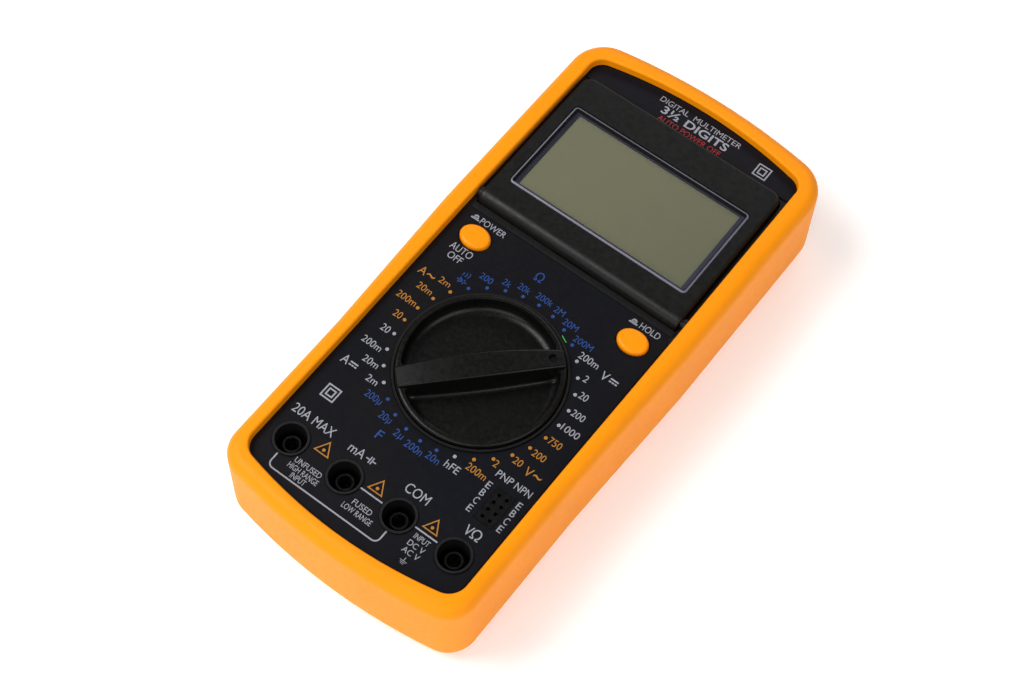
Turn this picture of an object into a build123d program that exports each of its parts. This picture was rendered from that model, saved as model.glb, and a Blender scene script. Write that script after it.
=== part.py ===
from build123d import *
import os
from math import radians, tan

# Hand-held digital multimeter in a rubber holster: flip-up display, rotary range switch, two push
# buttons, four 4 mm sockets, a transistor test socket and a fold-out stand at the back.
# Millimetres. Origin at the middle of the back, +X to the right, +Y to the display end, +Z out of
# the face.

os.makedirs("parts", exist_ok=True)

# ---------------------------------------------------------------- driving dimensions
# Overall envelope of the holster
LENGTH = 187.2
WIDTH = 87.7
RIM_Z = 33.0                 # top of the holster's lip
WAIST = 3.5                  # how much narrower the holster is at its socket end
END_BOW = 4.8                # how far each end bulges beyond its corners
TOP_CORNER_R = 12.0
LOW_CORNER_R = 9.5
CORNER_NESTING = 0.6         # how much a corner tightens for each millimetre moved in
HOLSTER_WALL = 3.6
HOLSTER_FLOOR = 2.2
LIP_DROP = 3.0               # lip thickness over the face
BACK_EDGE_R = 6.0
LIP_OUTER_R = 4.0
LIP_INNER_R = 0.8
LIP_SIDE = 6.3               # width of the lip along the sides
LIP_TOP = 5.9
LIP_LOW = 5.45
OPENING_WAIST = 0.44         # how much narrower the lip's opening is at its socket end
OPENING_TOP_R = 5.0
OPENING_LOW_R = 6.0
KNEE_LOW = 12.0              # where the flare starts, below the dial
KNEE_HIGH = 40.0             # and where it ends, above the dial

# Case shells
CASE_WALL = 2.2
CASE_GAP = 0.1               # case to holster
SEAM_Z = 16.0                # joint between the two case shells
LABEL_T = 0.4
LABEL_GAP = 0.15
LABEL_MARGIN = 1.0           # main label to the edge of the lip's opening
SEAM_LIP = 1.0               # tongue of the front shell inside the rear shell
CASE_EDGE_R = 2.2            # round of the rear shell's back edge
CASE_POST_R = 3.0
SCREW_FROM_SIDE = 5.2
SCREW_FROM_LOW = 13.5
SCREW_FROM_TOP = 13.2
CASE_POST_EXTRA = 0.2        # the rear shell's posts are a little wider
CASE_SCREW_R = 1.25
CASE_HEAD_R = 2.5
CASE_HEAD_H = 1.8
HEAD_CLEARANCE = 0.2
SELF_TAP = 0.05              # a screw's bore is this much wider than its shank
BOARD_POST_R = 2.4
BOARD_SCREW_R = 0.8
BOARD_HEAD_R = 1.9
LABEL_SETBACK = 2.6          # main label to the display
LABEL_CORNER_R = 3.2
TOP_LABEL_GAP = 0.9
STRIP_W = 2.4                # raised strip of the case along the display's hinge

# Flip-up display
DISPLAY_W = 71.4
DISPLAY_L = 55.4
DISPLAY_T = 9.4
DISPLAY_END = 18.05          # display's far edge to the end of the holster
DISPLAY_CORNER_R = 3.5
DISPLAY_GAP = 0.3
DISPLAY_REST_GAP = 0.4       # under the closed display
WELL_END_GAP = 0.5           # beyond the display's far edge
DISPLAY_WALL = 1.8
DISPLAY_POST_R = 1.9
DISPLAY_SCREW_R = 0.7
DISPLAY_HEAD_R = 1.6
DISPLAY_EDGE_R = 0.8
WELL_T = 1.6                 # floor and walls of the display's well
BARREL_R = 3.5
HINGE_PIN_R = 1.0
HINGE_PIN_L = 5.6
HINGE_PIN_HOLD = 1.2         # how far a pin is pressed into the case
EYE_R = 1.9
LENS_FROM_SIDE = 3.9         # lens to the display's sides
LENS_L = 34.3
LENS_T = 1.2
LENS_FROM_END = 11.3         # lens to the display's far edge
LENS_R = 1.5
GLASS_T = 2.8
BEZEL_BORDER = 2.6
BEZEL_BORDER_Y = 1.9
DISPLAY_BACK_T = 1.6
FLEX_HALF = 6.5              # half width of the flat cable
FLEX_SLOT = 7.5              # half width of the slots that it passes through
FLEX_T = 0.2
FLEX_REACH = 4.0             # from the hinge to where the cable drops to the display's board
FLEX_SPLIT = 0.15            # the two halves of the cable part at the hinge

# Range selector
JACK_FROM_END = 20.35        # socket row to the end of the holster
DIAL_FROM_JACKS = 48.8
KNOB_R = 24.3
KNOB_GAP = 0.3
KNOB_TOP = 2.0               # rim of the knob over the face
KNOB_BASE = 7.6              # underside of the knob below the face
RIM_W = 1.7                  # knob's rim round the dishes
DISH_DEPTH = 5.2             # below the knob's rim
DISH_FLOOR_R = 2.8
GRIP_FOOT_R = 1.4            # hollow between the grip and the dishes
GRIP_MID_W = 8.2
GRIP_TIP_W = 5.6
GRIP_TAIL_W = 6.6
GRIP_CROWN = 2.0             # rise of the grip in its middle
GRIP_END_Z = 2.9             # grip's end over the face
GRIP_STEP = 0.06             # the grip stands this far in from the dishes' walls
GRIP_EDGE_R = 0.7
RIM_EDGE_R = 0.9
POINTER_R = 1.3
POINTER_FROM_EDGE = 3.7
POINTER_ANGLE = 45.0         # the range that the knob points at
BEZEL_RING_W = 1.0
BEZEL_RING_H = 0.6
DETENTS = 32
ROTOR_REACH = 3.1            # how far the rotor reaches past the knob
SKIRT_WALL = 1.6
CONTACT_RINGS = 6
CONTACT_FIRST = 10.7
CONTACT_STEP = 2.6
TRACK_W = 1.6
ROTOR_T = 4.0
DETENT_RING_GAP = 0.5
DETENT_RING_W = 1.6
DETENT_NOTCH_R = 1.0
BALL_R = 1.25
ROTOR_PIN_R = 3.0
PIN_FIT = 0.05

# Circuit board
PCB_TOP = 13.4               # below the face
PCB_T = 1.6
PCB_EDGE_GAP = 2.0           # to the inside of the case
PCB_UNDER_DISPLAY = 27.0     # how far it reaches under the display

# Sockets
JACKS = 4
JACK_PITCH = 19.0
JACK_BORE_R = 2.025
JACK_TUBE_R = 2.35
SLEEVE_R = 2.62              # insulating sleeve round the metal tube
JACK_TOP = 4.9               # top of the metal tube below the face
JACK_LENGTH = 17.1
COLLAR_H = 1.7
WELL_R = 4.6
WELL_RIM_R = 5.3
WELL_RIM_H = 0.5
WELL_FLOOR = 12.6            # below the face

# Push buttons
BUTTON_X = 28.3
BUTTON_FROM_DISPLAY = 10.5
BUTTON_RX = 4.95
BUTTON_RY = 3.85
BUTTON_TOP = 1.4
BUTTON_TRAVEL = 1.4
BUTTON_EDGE_R = 1.1
BUTTON_GAP = 0.25
FLANGE_W = 1.0
FLANGE_T = 1.2
SWITCH_W = 8.0
SWITCH_H = 4.4
PLUNGER_R = 1.5
SPRING_R = 2.6
SPRING_WIRE_R = 0.25
SPRING_TURNS = 4

# Transistor test socket
HFE_W = 6.3
HFE_L = 11.1
HFE_X = 28.65
HFE_FROM_DIAL = 31.0
PIN_PITCH = 2.54
HFE_DEPTH = 9.0
HFE_FRAME_W = 1.2            # wall of the case round the socket

# Parts on the board
FUSE_X = -16.0
FUSE_FROM_DIAL = 34.0
FUSE_R = 2.6
FUSE_L = 20.0
FUSE_CAP_L = 5.0
FUSE_CLIP_W = 3.6
SHUNT_R = 0.8
SHUNT_FROM_JACKS = 8.4
SHUNT_DROP = 5.0
BUZZER_SPOT = (18.0, -12.0)  # from the dial
BUZZER_R = 10.0
BUZZER_CERAMIC_R = 7.0
CHIP_FROM_DIAL = 37.0
CHIP_W = 14.0
CHIP_LEGS = 11
CHIP_LEG_PITCH = 1.1
TRIMMER_W = 6.4
CAN_R = 2.5
RESISTORS = 8
RESISTOR_R = 1.0
RESISTOR_PITCH = 2.9

# Power
BATTERY = (48.5, 26.5, 16.4)
BATTERY_X = -2.5
BATTERY_FROM_END = 29.0      # middle of the battery to the end of the holster
BATTERY_LIFT = 0.2           # over the rear shell's floor
STUD_L = 1.8
STUD_PITCH = 12.7
STUD_RS = (3.0, 2.7)
SNAP_T = 5.2
BAY_MARGIN = (6.0, 3.0)
COVER_T = 2.0
COVER_GAP = 0.3
COVER_SCREW_R = 1.0
COVER_HEAD_R = 2.1
COVER_HEAD_H = 0.7
EAR_W = 11.0                 # the cover's screwed ear
EAR_L = 6.0
EAR_T = 1.2
LEAD_R = 0.65

# Fold-out stand
STAND_W = 44.0
STAND_L = 74.0
STAND_T = 2.2
STAND_Z = 0.4
STAND_GAP = 1.0
STAND_BARREL_R = 1.9
STAND_CORNER_R = 4.0
STAND_FOOT = 4.0             # web between the panel and the hinge barrel
STAND_HINGE_Y = 22.0
STAND_PIN_R = 1.2
STAND_HINGE_UP = 3.6         # hinge axis over the stand's outer face

# ---------------------------------------------------------------- derived places
HALF_L = LENGTH / 2
DISH_R = KNOB_R - RIM_W
LENS_W = DISPLAY_W - 2 * LENS_FROM_SIDE
POINTER_AT = KNOB_R - POINTER_FROM_EDGE
ROTOR_R = KNOB_R + ROTOR_REACH
FACE_Z = RIM_Z - LIP_DROP
PLATE_Z = FACE_Z - LABEL_T               # top of the front shell's plate
PLATE_LOW = PLATE_Z - CASE_WALL
CASE_LOW = HOLSTER_FLOOR + CASE_GAP
FLOOR_Z = CASE_LOW + CASE_WALL           # inside of the rear shell's floor
CASE_INSET = HOLSTER_WALL + CASE_GAP
PCB_Z = FACE_Z - PCB_TOP
PCB_LOW = PCB_Z - PCB_T
FUSE_Z = PCB_LOW - 1.0 - FUSE_R
JACK_Y = JACK_FROM_END - HALF_L
DIAL_Y = JACK_Y + DIAL_FROM_JACKS
FUSE_Y = DIAL_Y - FUSE_FROM_DIAL
DISPLAY_TOP_Y = HALF_L - DISPLAY_END
DISPLAY_Y = DISPLAY_TOP_Y - DISPLAY_L
BUTTON_Y = DISPLAY_Y - BUTTON_FROM_DISPLAY
HINGE_Y = DISPLAY_Y + BARREL_R
HINGE_Z = RIM_Z - BARREL_R
DISPLAY_LOW = RIM_Z - DISPLAY_T
WELL_FLOOR_Z = DISPLAY_LOW - DISPLAY_REST_GAP
WELL_HALF = DISPLAY_W / 2 + DISPLAY_GAP
KNOB_LOW = FACE_Z - KNOB_BASE
SKIRT_LOW = KNOB_LOW - 0.4
ROTOR_TOP = SKIRT_LOW - 0.4
ROTOR_LOW = ROTOR_TOP - ROTOR_T
HFE_Y = DIAL_Y - HFE_FROM_DIAL
PCB_TOP_Y = DISPLAY_Y + PCB_UNDER_DISPLAY
BATTERY_Y = HALF_L - BATTERY_FROM_END
JACK_XS = [(i - (JACKS - 1) / 2) * JACK_PITCH for i in range(JACKS)]
JACK_NAMES = ["socket_20a", "socket_ma", "socket_com", "socket_volt_ohm"]
INSIDE_HALF = WIDTH / 2 - CASE_INSET - CASE_WALL
CASE_HEAD_TOP = FLOOR_Z + 1.4
STAND_HINGE_Z = STAND_Z + STAND_HINGE_UP
CASE_SCREW_SPOTS = [(sx * (INSIDE_HALF - SCREW_FROM_SIDE), y) for sx in (-1, 1)
                    for y in (SCREW_FROM_LOW - HALF_L, HALF_L - SCREW_FROM_TOP)]
PCB_SCREW_SPOTS = [(sx * x, y) for sx in (-1, 1)
                   for x, y in ((INSIDE_HALF - 3.5, DIAL_Y + 4.5),
                                (INSIDE_HALF - 3.5, BUTTON_Y - 10.0),
                                (INSIDE_HALF - 8.0, PCB_TOP_Y - 6.0))]
DISPLAY_SCREW_SPOTS = [(sx * (DISPLAY_W / 2 - 2.6), y) for sx in (-1, 1)
                       for y in (HINGE_Y + 8.0, DISPLAY_TOP_Y - 6.0)]


# ---------------------------------------------------------------- helpers
def box(x0, x1, y0, y1, z0, z1):
    """A block from its lowest to its highest corner."""
    return Pos((x0 + x1) / 2, (y0 + y1) / 2, (z0 + z1) / 2) * Box(x1 - x0, y1 - y0, z1 - z0)


def rod(radius, z0, z1, x=0.0, y=0.0):
    """An upright cylinder."""
    return Pos(x, y, (z0 + z1) / 2) * Cylinder(radius, z1 - z0)


def pin_x(radius, x0, x1, y, z):
    """A cylinder along X, between two ends in either order."""
    return Pos((x0 + x1) / 2, y, z) * Rot(0, 90, 0) * Cylinder(radius, abs(x1 - x0))


def slab(face, z0, z1):
    """A flat outline raised between two heights."""
    return extrude(Pos(0, 0, z0) * face, z1 - z0)


def plate(x0, x1, y0, y1, z0, z1, radius):
    """A block with rounded upright corners."""
    flat = Pos((x0 + x1) / 2, (y0 + y1) / 2) * RectangleRounded(x1 - x0, y1 - y0, radius)
    return slab(flat, z0, z1)


def flared_outline(half_low, half_high, low_y, high_y, low_r, high_r):
    """The meter's plan shape: bowed ends, and sides that flare towards the display."""
    low_corner = (half_low, low_y + END_BOW)
    high_corner = (half_high, high_y - END_BOW)
    right = Polyline(low_corner, (half_low, DIAL_Y - KNEE_LOW), (half_high, DIAL_Y + KNEE_HIGH),
                     high_corner)
    left = mirror(right, Plane.YZ)
    top = ThreePointArc(high_corner, (0, high_y), (-high_corner[0], high_corner[1]))
    low = ThreePointArc((-low_corner[0], low_corner[1]), (0, low_y), low_corner)
    face = make_face(right.edges() + left.edges() + top.edges() + low.edges())
    corners = face.vertices().sort_by(Axis.Y)
    face = fillet(corners[:2], low_r)
    corners = face.vertices().sort_by(Axis.Y)
    return fillet(corners[-2:], high_r)


def body_outline(inset):
    """Outer plan shape of the holster, or anything nested inside it."""
    half = WIDTH / 2 - inset
    return flared_outline(half - WAIST / 2, half, inset - HALF_L, HALF_L - inset,
                          LOW_CORNER_R - inset * CORNER_NESTING,
                          TOP_CORNER_R - inset * CORNER_NESTING)


def opening_outline(inset):
    """Plan shape of the lip's inner edge, or anything nested inside it."""
    half = WIDTH / 2 - LIP_SIDE - inset
    return flared_outline(half - OPENING_WAIST, half, LIP_LOW - HALF_L + inset,
                          HALF_L - LIP_TOP - inset, OPENING_LOW_R - inset, OPENING_TOP_R - inset)


def hfe_block(grow, z0, z1):
    """A block of the transistor socket's shape, made larger by a margin."""
    return box(HFE_X - HFE_W / 2 - grow, HFE_X + HFE_W / 2 + grow, HFE_Y - HFE_L / 2 - grow,
               HFE_Y + HFE_L / 2 + grow, z0, z1)


def ellipse_prism(grow, z0, z1, x, y):
    """An upright elliptic prism of the button's shape, made larger by a margin."""
    return slab(Pos(x, y) * Ellipse(BUTTON_RX + grow, BUTTON_RY + grow), z0, z1)


def at_dial(shape, angle=0.0):
    """Places a shape made about the origin on the dial's axis, turned by an angle."""
    return Pos(0, DIAL_Y) * Rot(0, 0, angle) * shape


def soft_bends(route):
    """The largest bend that each inner point of a wire's route has room for."""
    radii = []
    for before, at, after in zip(route, route[1:], route[2:]):
        first = Vector(*at) - Vector(*before)
        second = Vector(*after) - Vector(*at)
        turn = radians(first.get_angle(second))
        radii.append(0.45 * min(first.length, second.length) / tan(turn / 2))
    return radii


def join(shapes):
    """One shape from several that touch or overlap."""
    result = shapes[0]
    for shape in shapes[1:]:
        result = result + shape
    return result


def cut(shape, tools):
    """A shape with each tool taken away."""
    for tool in tools:
        shape = shape - tool
    return shape


def save(name, shape):
    """Writes one node."""
    export_step(Compound(children=list(shape.solids())), f"parts/{name}.step")


# ---------------------------------------------------------------- holster
def round_loops(shape, level, outer_r, inner_r=0.0):
    """Rounds the outer edge of a shape's lowest (0) or highest (-1) flat face, and its opening's."""
    flat = shape.faces().sort_by(Axis.Z)[level]
    if inner_r:
        shape = fillet(flat.inner_wires()[0].edges(), inner_r)
        flat = shape.faces().sort_by(Axis.Z)[level]
    return fillet(flat.outer_wire().edges(), outer_r)


def make_holster():
    body = slab(body_outline(0), 0, RIM_Z)
    body -= slab(body_outline(HOLSTER_WALL), HOLSTER_FLOOR, FACE_Z)
    body -= slab(opening_outline(0), FACE_Z - 1, RIM_Z + 1)
    body = round_loops(body, -1, LIP_OUTER_R, LIP_INNER_R)
    body = round_loops(body, 0, BACK_EDGE_R)
    half = STAND_W / 2 + STAND_GAP
    window = plate(-half, half, STAND_HINGE_Y - STAND_L - STAND_GAP,
                   STAND_HINGE_Y + 2 * STAND_BARREL_R + STAND_GAP, -1, HOLSTER_FLOOR + 1,
                   STAND_CORNER_R)
    return body - window


# ---------------------------------------------------------------- case
def in_case(shape):
    """The part of a shape that lies within the case's own outline."""
    return shape & slab(body_outline(CASE_INSET), 0, RIM_Z)


def front_bosses():
    posts = [in_case(rod(CASE_POST_R, SEAM_Z - SEAM_LIP, PLATE_LOW, x, y))
             for x, y in CASE_SCREW_SPOTS]
    posts += [rod(BOARD_POST_R, PCB_Z, PLATE_LOW if y < DISPLAY_Y else WELL_FLOOR_Z, x, y)
              for x, y in PCB_SCREW_SPOTS]
    return posts


def make_front_case():
    shell = slab(body_outline(CASE_INSET), SEAM_Z, PLATE_Z)
    shell -= slab(body_outline(CASE_INSET + CASE_WALL), SEAM_Z, PLATE_LOW)
    tongue = slab(body_outline(CASE_INSET + CASE_WALL / 2 + CASE_GAP), SEAM_Z - SEAM_LIP, SEAM_Z)
    tongue -= slab(body_outline(CASE_INSET + CASE_WALL), SEAM_Z - SEAM_LIP, SEAM_Z)
    strip = box(-WELL_HALF, WELL_HALF, DISPLAY_Y - STRIP_W, DISPLAY_Y, PLATE_Z, FACE_Z)
    well_wall = plate(-WELL_HALF - WELL_T, WELL_HALF + WELL_T, DISPLAY_Y - DISPLAY_GAP - WELL_T,
                      DISPLAY_TOP_Y + WELL_END_GAP + WELL_T, WELL_FLOOR_Z - WELL_T, PLATE_Z, 2.0)
    skirt = at_dial(rod(KNOB_R + KNOB_GAP + SKIRT_WALL, SKIRT_LOW, PLATE_Z))
    ring = at_dial(rod(KNOB_R + BEZEL_RING_W, PLATE_Z, FACE_Z + BEZEL_RING_H))
    detent = at_dial(rod(ROTOR_R + DETENT_RING_GAP + DETENT_RING_W, ROTOR_LOW + 0.2, PLATE_LOW)
                     - rod(ROTOR_R + DETENT_RING_GAP, ROTOR_LOW - 1, PLATE_LOW))
    wells = [rod(WELL_RIM_R, FACE_Z - WELL_FLOOR - 0.8, FACE_Z + WELL_RIM_H, x, JACK_Y)
             for x in JACK_XS]
    ears = [pin_x(EYE_R, sx * WELL_HALF, sx * (WELL_HALF + HINGE_PIN_HOLD + 0.1), HINGE_Y,
                  HINGE_Z) for sx in (-1, 1)]
    hfe_frame = hfe_block(HFE_FRAME_W, PLATE_LOW - 3.0, PLATE_Z)
    body = join([shell, tongue, strip, well_wall, skirt, ring, detent, hfe_frame] + ears
                + wells + front_bosses())

    corner = DISPLAY_CORNER_R - DISPLAY_GAP
    well = plate(-WELL_HALF, WELL_HALF, HINGE_Y, DISPLAY_TOP_Y + WELL_END_GAP, WELL_FLOOR_Z, RIM_Z,
                 corner)
    well += box(-WELL_HALF, WELL_HALF, HINGE_Y, HINGE_Y + 10, WELL_FLOOR_Z, RIM_Z)
    channel = pin_x(BARREL_R + DISPLAY_GAP, -WELL_HALF, WELL_HALF, HINGE_Y, HINGE_Z)
    channel += box(-WELL_HALF, WELL_HALF, HINGE_Y - BARREL_R - DISPLAY_GAP, HINGE_Y,
                   HINGE_Z, RIM_Z)
    flex_slot = box(-FLEX_SLOT, FLEX_SLOT, HINGE_Y - 0.6, HINGE_Y + 0.6, WELL_FLOOR_Z - 4, HINGE_Z)
    pins = [pin_x(HINGE_PIN_R, sx * (WELL_HALF - 1), sx * (WELL_HALF + HINGE_PIN_HOLD),
                  HINGE_Y, HINGE_Z) for sx in (-1, 1)]
    knob_hole = at_dial(rod(KNOB_R + KNOB_GAP, SKIRT_LOW - 1, RIM_Z))
    notches = [at_dial(rod(DETENT_NOTCH_R, ROTOR_LOW - 1, ROTOR_TOP + 0.6,
                           ROTOR_R + DETENT_RING_GAP), i * 360 / DETENTS)
               for i in range(DETENTS)]
    sockets = []
    for x in JACK_XS:
        sockets.append(rod(WELL_R, FACE_Z - WELL_FLOOR, RIM_Z, x, JACK_Y))
        sockets.append(rod(JACK_TUBE_R + PIN_FIT, PCB_Z, RIM_Z, x, JACK_Y))
    buttons = [ellipse_prism(BUTTON_GAP, PLATE_LOW - 1, RIM_Z, sx * BUTTON_X, BUTTON_Y)
               for sx in (-1, 1)]
    hfe_hole = hfe_block(PIN_FIT, PLATE_LOW - 4, RIM_Z)
    screw_bores = [rod(CASE_SCREW_R + SELF_TAP, 0, PLATE_LOW - 1.0, x, y) for x, y in CASE_SCREW_SPOTS]
    screw_bores += [rod(BOARD_SCREW_R + SELF_TAP, PCB_Z, PCB_Z + 4.4, x, y) for x, y in PCB_SCREW_SPOTS]
    return cut(body, [well, channel, flex_slot, knob_hole] + pins + notches + sockets + buttons
               + [hfe_hole] + screw_bores)


def battery_bay(margin):
    """Plan space of the battery's cover, in the rear shell's floor."""
    half_x = BATTERY[0] / 2 + BAY_MARGIN[0] + margin
    half_y = BATTERY[1] / 2 + BAY_MARGIN[1] + margin
    return (-half_x, half_x, BATTERY_Y - half_y, BATTERY_Y + half_y)


def cover_screw_y():
    return battery_bay(-COVER_GAP)[2] - EAR_L / 2


def make_rear_case():
    shell = slab(body_outline(CASE_INSET), CASE_LOW, SEAM_Z)
    shell = fillet(shell.edges().group_by(Axis.Z)[0], CASE_EDGE_R)
    shell -= slab(body_outline(CASE_INSET + CASE_WALL), FLOOR_Z, SEAM_Z)
    shell -= slab(body_outline(CASE_INSET + CASE_WALL / 2), SEAM_Z - SEAM_LIP - CASE_GAP, SEAM_Z)
    posts = [in_case(rod(CASE_POST_R + CASE_POST_EXTRA, FLOOR_Z, SEAM_Z - SEAM_LIP - CASE_GAP,
                         x, y)) for x, y in CASE_SCREW_SPOTS]
    hinge_box = box(-STAND_W / 2 - 3.4, STAND_W / 2 + 3.4, STAND_HINGE_Y - STAND_FOOT - 1.8,
                    STAND_HINGE_Y + STAND_HINGE_UP + 1.8, FLOOR_Z,
                    STAND_HINGE_Z + STAND_BARREL_R + 1.8)
    x0, x1, y0, y1 = battery_bay(0)
    bay_wall = box(x0 - 1.4, x1 + 1.4, y0 - 1.4, y0, FLOOR_Z, FLOOR_Z + 4.0)
    cover_post = rod(3.0, FLOOR_Z, FLOOR_Z + 6.0, 0, cover_screw_y())
    body = join([shell, hinge_box, bay_wall, cover_post] + posts)
    half = STAND_W / 2 + STAND_GAP
    recess = plate(-half, half, STAND_HINGE_Y - STAND_L - STAND_GAP, STAND_HINGE_Y,
                   -1, STAND_Z + STAND_T + 0.3, STAND_CORNER_R)
    barrel = pin_x(STAND_BARREL_R + 0.4, -STAND_W / 2 - 0.4, STAND_W / 2 + 0.4,
                   STAND_HINGE_Y, STAND_HINGE_Z)
    barrel += box(-STAND_W / 2 - 0.4, STAND_W / 2 + 0.4, STAND_HINGE_Y - STAND_FOOT - 0.4,
                  STAND_HINGE_Y + STAND_HINGE_UP + 0.4, -1, STAND_HINGE_Z + 0.4)
    pins = pin_x(STAND_PIN_R + PIN_FIT, -STAND_W / 2 - 2.2, STAND_W / 2 + 2.2,
                 STAND_HINGE_Y, STAND_HINGE_Z)
    bay = plate(x0, x1, y0, y1, 0, FLOOR_Z + 0.5, 2.0)
    bay += plate(-EAR_W / 2 - 0.3, EAR_W / 2 + 0.3, y0 - EAR_L - 0.6, y0 + 3,
                 0, CASE_LOW + EAR_T + 0.1, 1.5)
    cover_bore = rod(COVER_SCREW_R + SELF_TAP, 0, FLOOR_Z + 5.0, 0, cover_screw_y())
    bores = []
    for x, y in CASE_SCREW_SPOTS:
        bores.append(rod(CASE_SCREW_R + HEAD_CLEARANCE, 0, SEAM_Z + 1, x, y))
        bores.append(rod(CASE_HEAD_R + HEAD_CLEARANCE, 0, CASE_HEAD_TOP, x, y))
    return cut(body, [recess, barrel, pins, bay, cover_bore] + bores)


def make_case_screws():
    screws = []
    for x, y in CASE_SCREW_SPOTS:
        low = CASE_HEAD_TOP - CASE_HEAD_H
        head = rod(CASE_HEAD_R, low, CASE_HEAD_TOP, x, y)
        for dx, dy in ((2.0, 0.35), (0.35, 2.0)):
            head -= box(x - dx, x + dx, y - dy, y + dy, 0, low + 0.8)
        screws.append(head + rod(CASE_SCREW_R, CASE_HEAD_TOP, PLATE_LOW - 3.0, x, y))
    return join(screws)


def make_battery_cover():
    x0, x1, y0, y1 = battery_bay(-COVER_GAP)
    cover = plate(x0, x1, y0, y1, CASE_LOW, CASE_LOW + COVER_T, 1.8)
    ear = plate(-EAR_W / 2, EAR_W / 2, y0 - EAR_L, y0 + 3, CASE_LOW, CASE_LOW + EAR_T, 1.5)
    grips = [box(-12, 12, y1 - 5 - 2.4 * i, y1 - 4 - 2.4 * i, CASE_LOW, CASE_LOW + 0.5)
             for i in range(4)]
    y = cover_screw_y()
    bores = [rod(COVER_SCREW_R + HEAD_CLEARANCE, CASE_LOW - 1, RIM_Z, 0, y),
             rod(COVER_HEAD_R + HEAD_CLEARANCE, CASE_LOW - 1, CASE_LOW + COVER_HEAD_H, 0, y)]
    return cut(cover + ear, grips + bores)


def make_battery_cover_screw():
    y = cover_screw_y()
    head = rod(COVER_HEAD_R, CASE_LOW, CASE_LOW + COVER_HEAD_H, 0, y)
    slot = box(-1.5, 1.5, y - 0.25, y + 0.25, CASE_LOW - 1, CASE_LOW + 0.4)
    return head + rod(COVER_SCREW_R, CASE_LOW + COVER_HEAD_H, FLOOR_Z + 4.6, 0, y) - slot


def make_main_label():
    top = DISPLAY_Y - LABEL_SETBACK
    label = slab(opening_outline(LABEL_MARGIN), PLATE_Z, FACE_Z)
    label &= box(-WIDTH, WIDTH, -LENGTH, top, PLATE_Z, FACE_Z)
    corners = label.edges().filter_by(Axis.Z).group_by(Axis.Y)[-1]
    label = fillet(corners, LABEL_CORNER_R)
    holes = [at_dial(rod(KNOB_R + BEZEL_RING_W + LABEL_GAP, 0, RIM_Z))]
    holes += [rod(WELL_RIM_R + LABEL_GAP, 0, RIM_Z, x, JACK_Y) for x in JACK_XS]
    holes += [ellipse_prism(BUTTON_GAP + 0.1, 0, RIM_Z, sx * BUTTON_X, BUTTON_Y)
              for sx in (-1, 1)]
    holes.append(hfe_block(0.1, 0, RIM_Z))
    return cut(label, holes)


def make_top_label():
    label = slab(opening_outline(LABEL_GAP + 0.4), PLATE_Z, FACE_Z)
    return label & box(-WIDTH, WIDTH, DISPLAY_TOP_Y + TOP_LABEL_GAP, LENGTH, PLATE_Z, FACE_Z)


# ---------------------------------------------------------------- display
def display_body(z0, z1, margin=0.0):
    """The display housing's plan block between two heights."""
    half = DISPLAY_W / 2 - margin
    block = plate(-half, half, HINGE_Y, DISPLAY_TOP_Y - margin, z0, z1, DISPLAY_CORNER_R)
    return block + box(-half, half, HINGE_Y, HINGE_Y + 10, z0, z1)


def make_display_frame():
    block = display_body(DISPLAY_LOW + DISPLAY_BACK_T, RIM_Z)
    block += pin_x(BARREL_R, -DISPLAY_W / 2, DISPLAY_W / 2, HINGE_Y, HINGE_Z)
    top = block.edges().filter_by(lambda e: e.center().Z > RIM_Z - 0.01
                                  and e.center().Y > HINGE_Y + 1)
    block = fillet(top, DISPLAY_EDGE_R)
    lens_y1 = DISPLAY_TOP_Y - LENS_FROM_END
    lens_y0 = lens_y1 - LENS_L
    seat = plate(-LENS_W / 2 - PIN_FIT, LENS_W / 2 + PIN_FIT, lens_y0 - PIN_FIT,
                 lens_y1 + PIN_FIT, RIM_Z - LENS_T, RIM_Z + 1, LENS_R)
    window = box(-LENS_W / 2 + 1.2, LENS_W / 2 - 1.2, lens_y0 + 1.2, lens_y1 - 1.2,
                 DISPLAY_LOW, RIM_Z)
    half = DISPLAY_W / 2 - DISPLAY_WALL
    inside = box(-half, half, HINGE_Y + 4.6, DISPLAY_TOP_Y - DISPLAY_WALL, DISPLAY_LOW,
                 RIM_Z - LENS_T - 1.0)
    posts = [rod(DISPLAY_POST_R, DISPLAY_LOW + DISPLAY_BACK_T, RIM_Z - 1.5, x, y)
             for x, y in DISPLAY_SCREW_SPOTS]
    block = block - seat - window - inside
    block = join([block] + posts)
    bores = [rod(DISPLAY_SCREW_R + SELF_TAP, DISPLAY_LOW, RIM_Z - 3.6, x, y)
             for x, y in DISPLAY_SCREW_SPOTS]
    pin_start = WELL_HALF + HINGE_PIN_HOLD - HINGE_PIN_L - 0.4
    pins = [pin_x(HINGE_PIN_R + PIN_FIT, sx * pin_start, sx * (DISPLAY_W / 2 + 1),
                  HINGE_Y, HINGE_Z) for sx in (-1, 1)]
    flex = box(-FLEX_SLOT, FLEX_SLOT, HINGE_Y - BARREL_R - 1, HINGE_Y + 0.5, DISPLAY_LOW - 1,
               HINGE_Z + 0.5)
    flex += box(-FLEX_SLOT, FLEX_SLOT, HINGE_Y - 0.5, HINGE_Y + 6, HINGE_Z - 4.0, HINGE_Z + 1.2)
    return cut(block, bores + pins + [flex])


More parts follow.
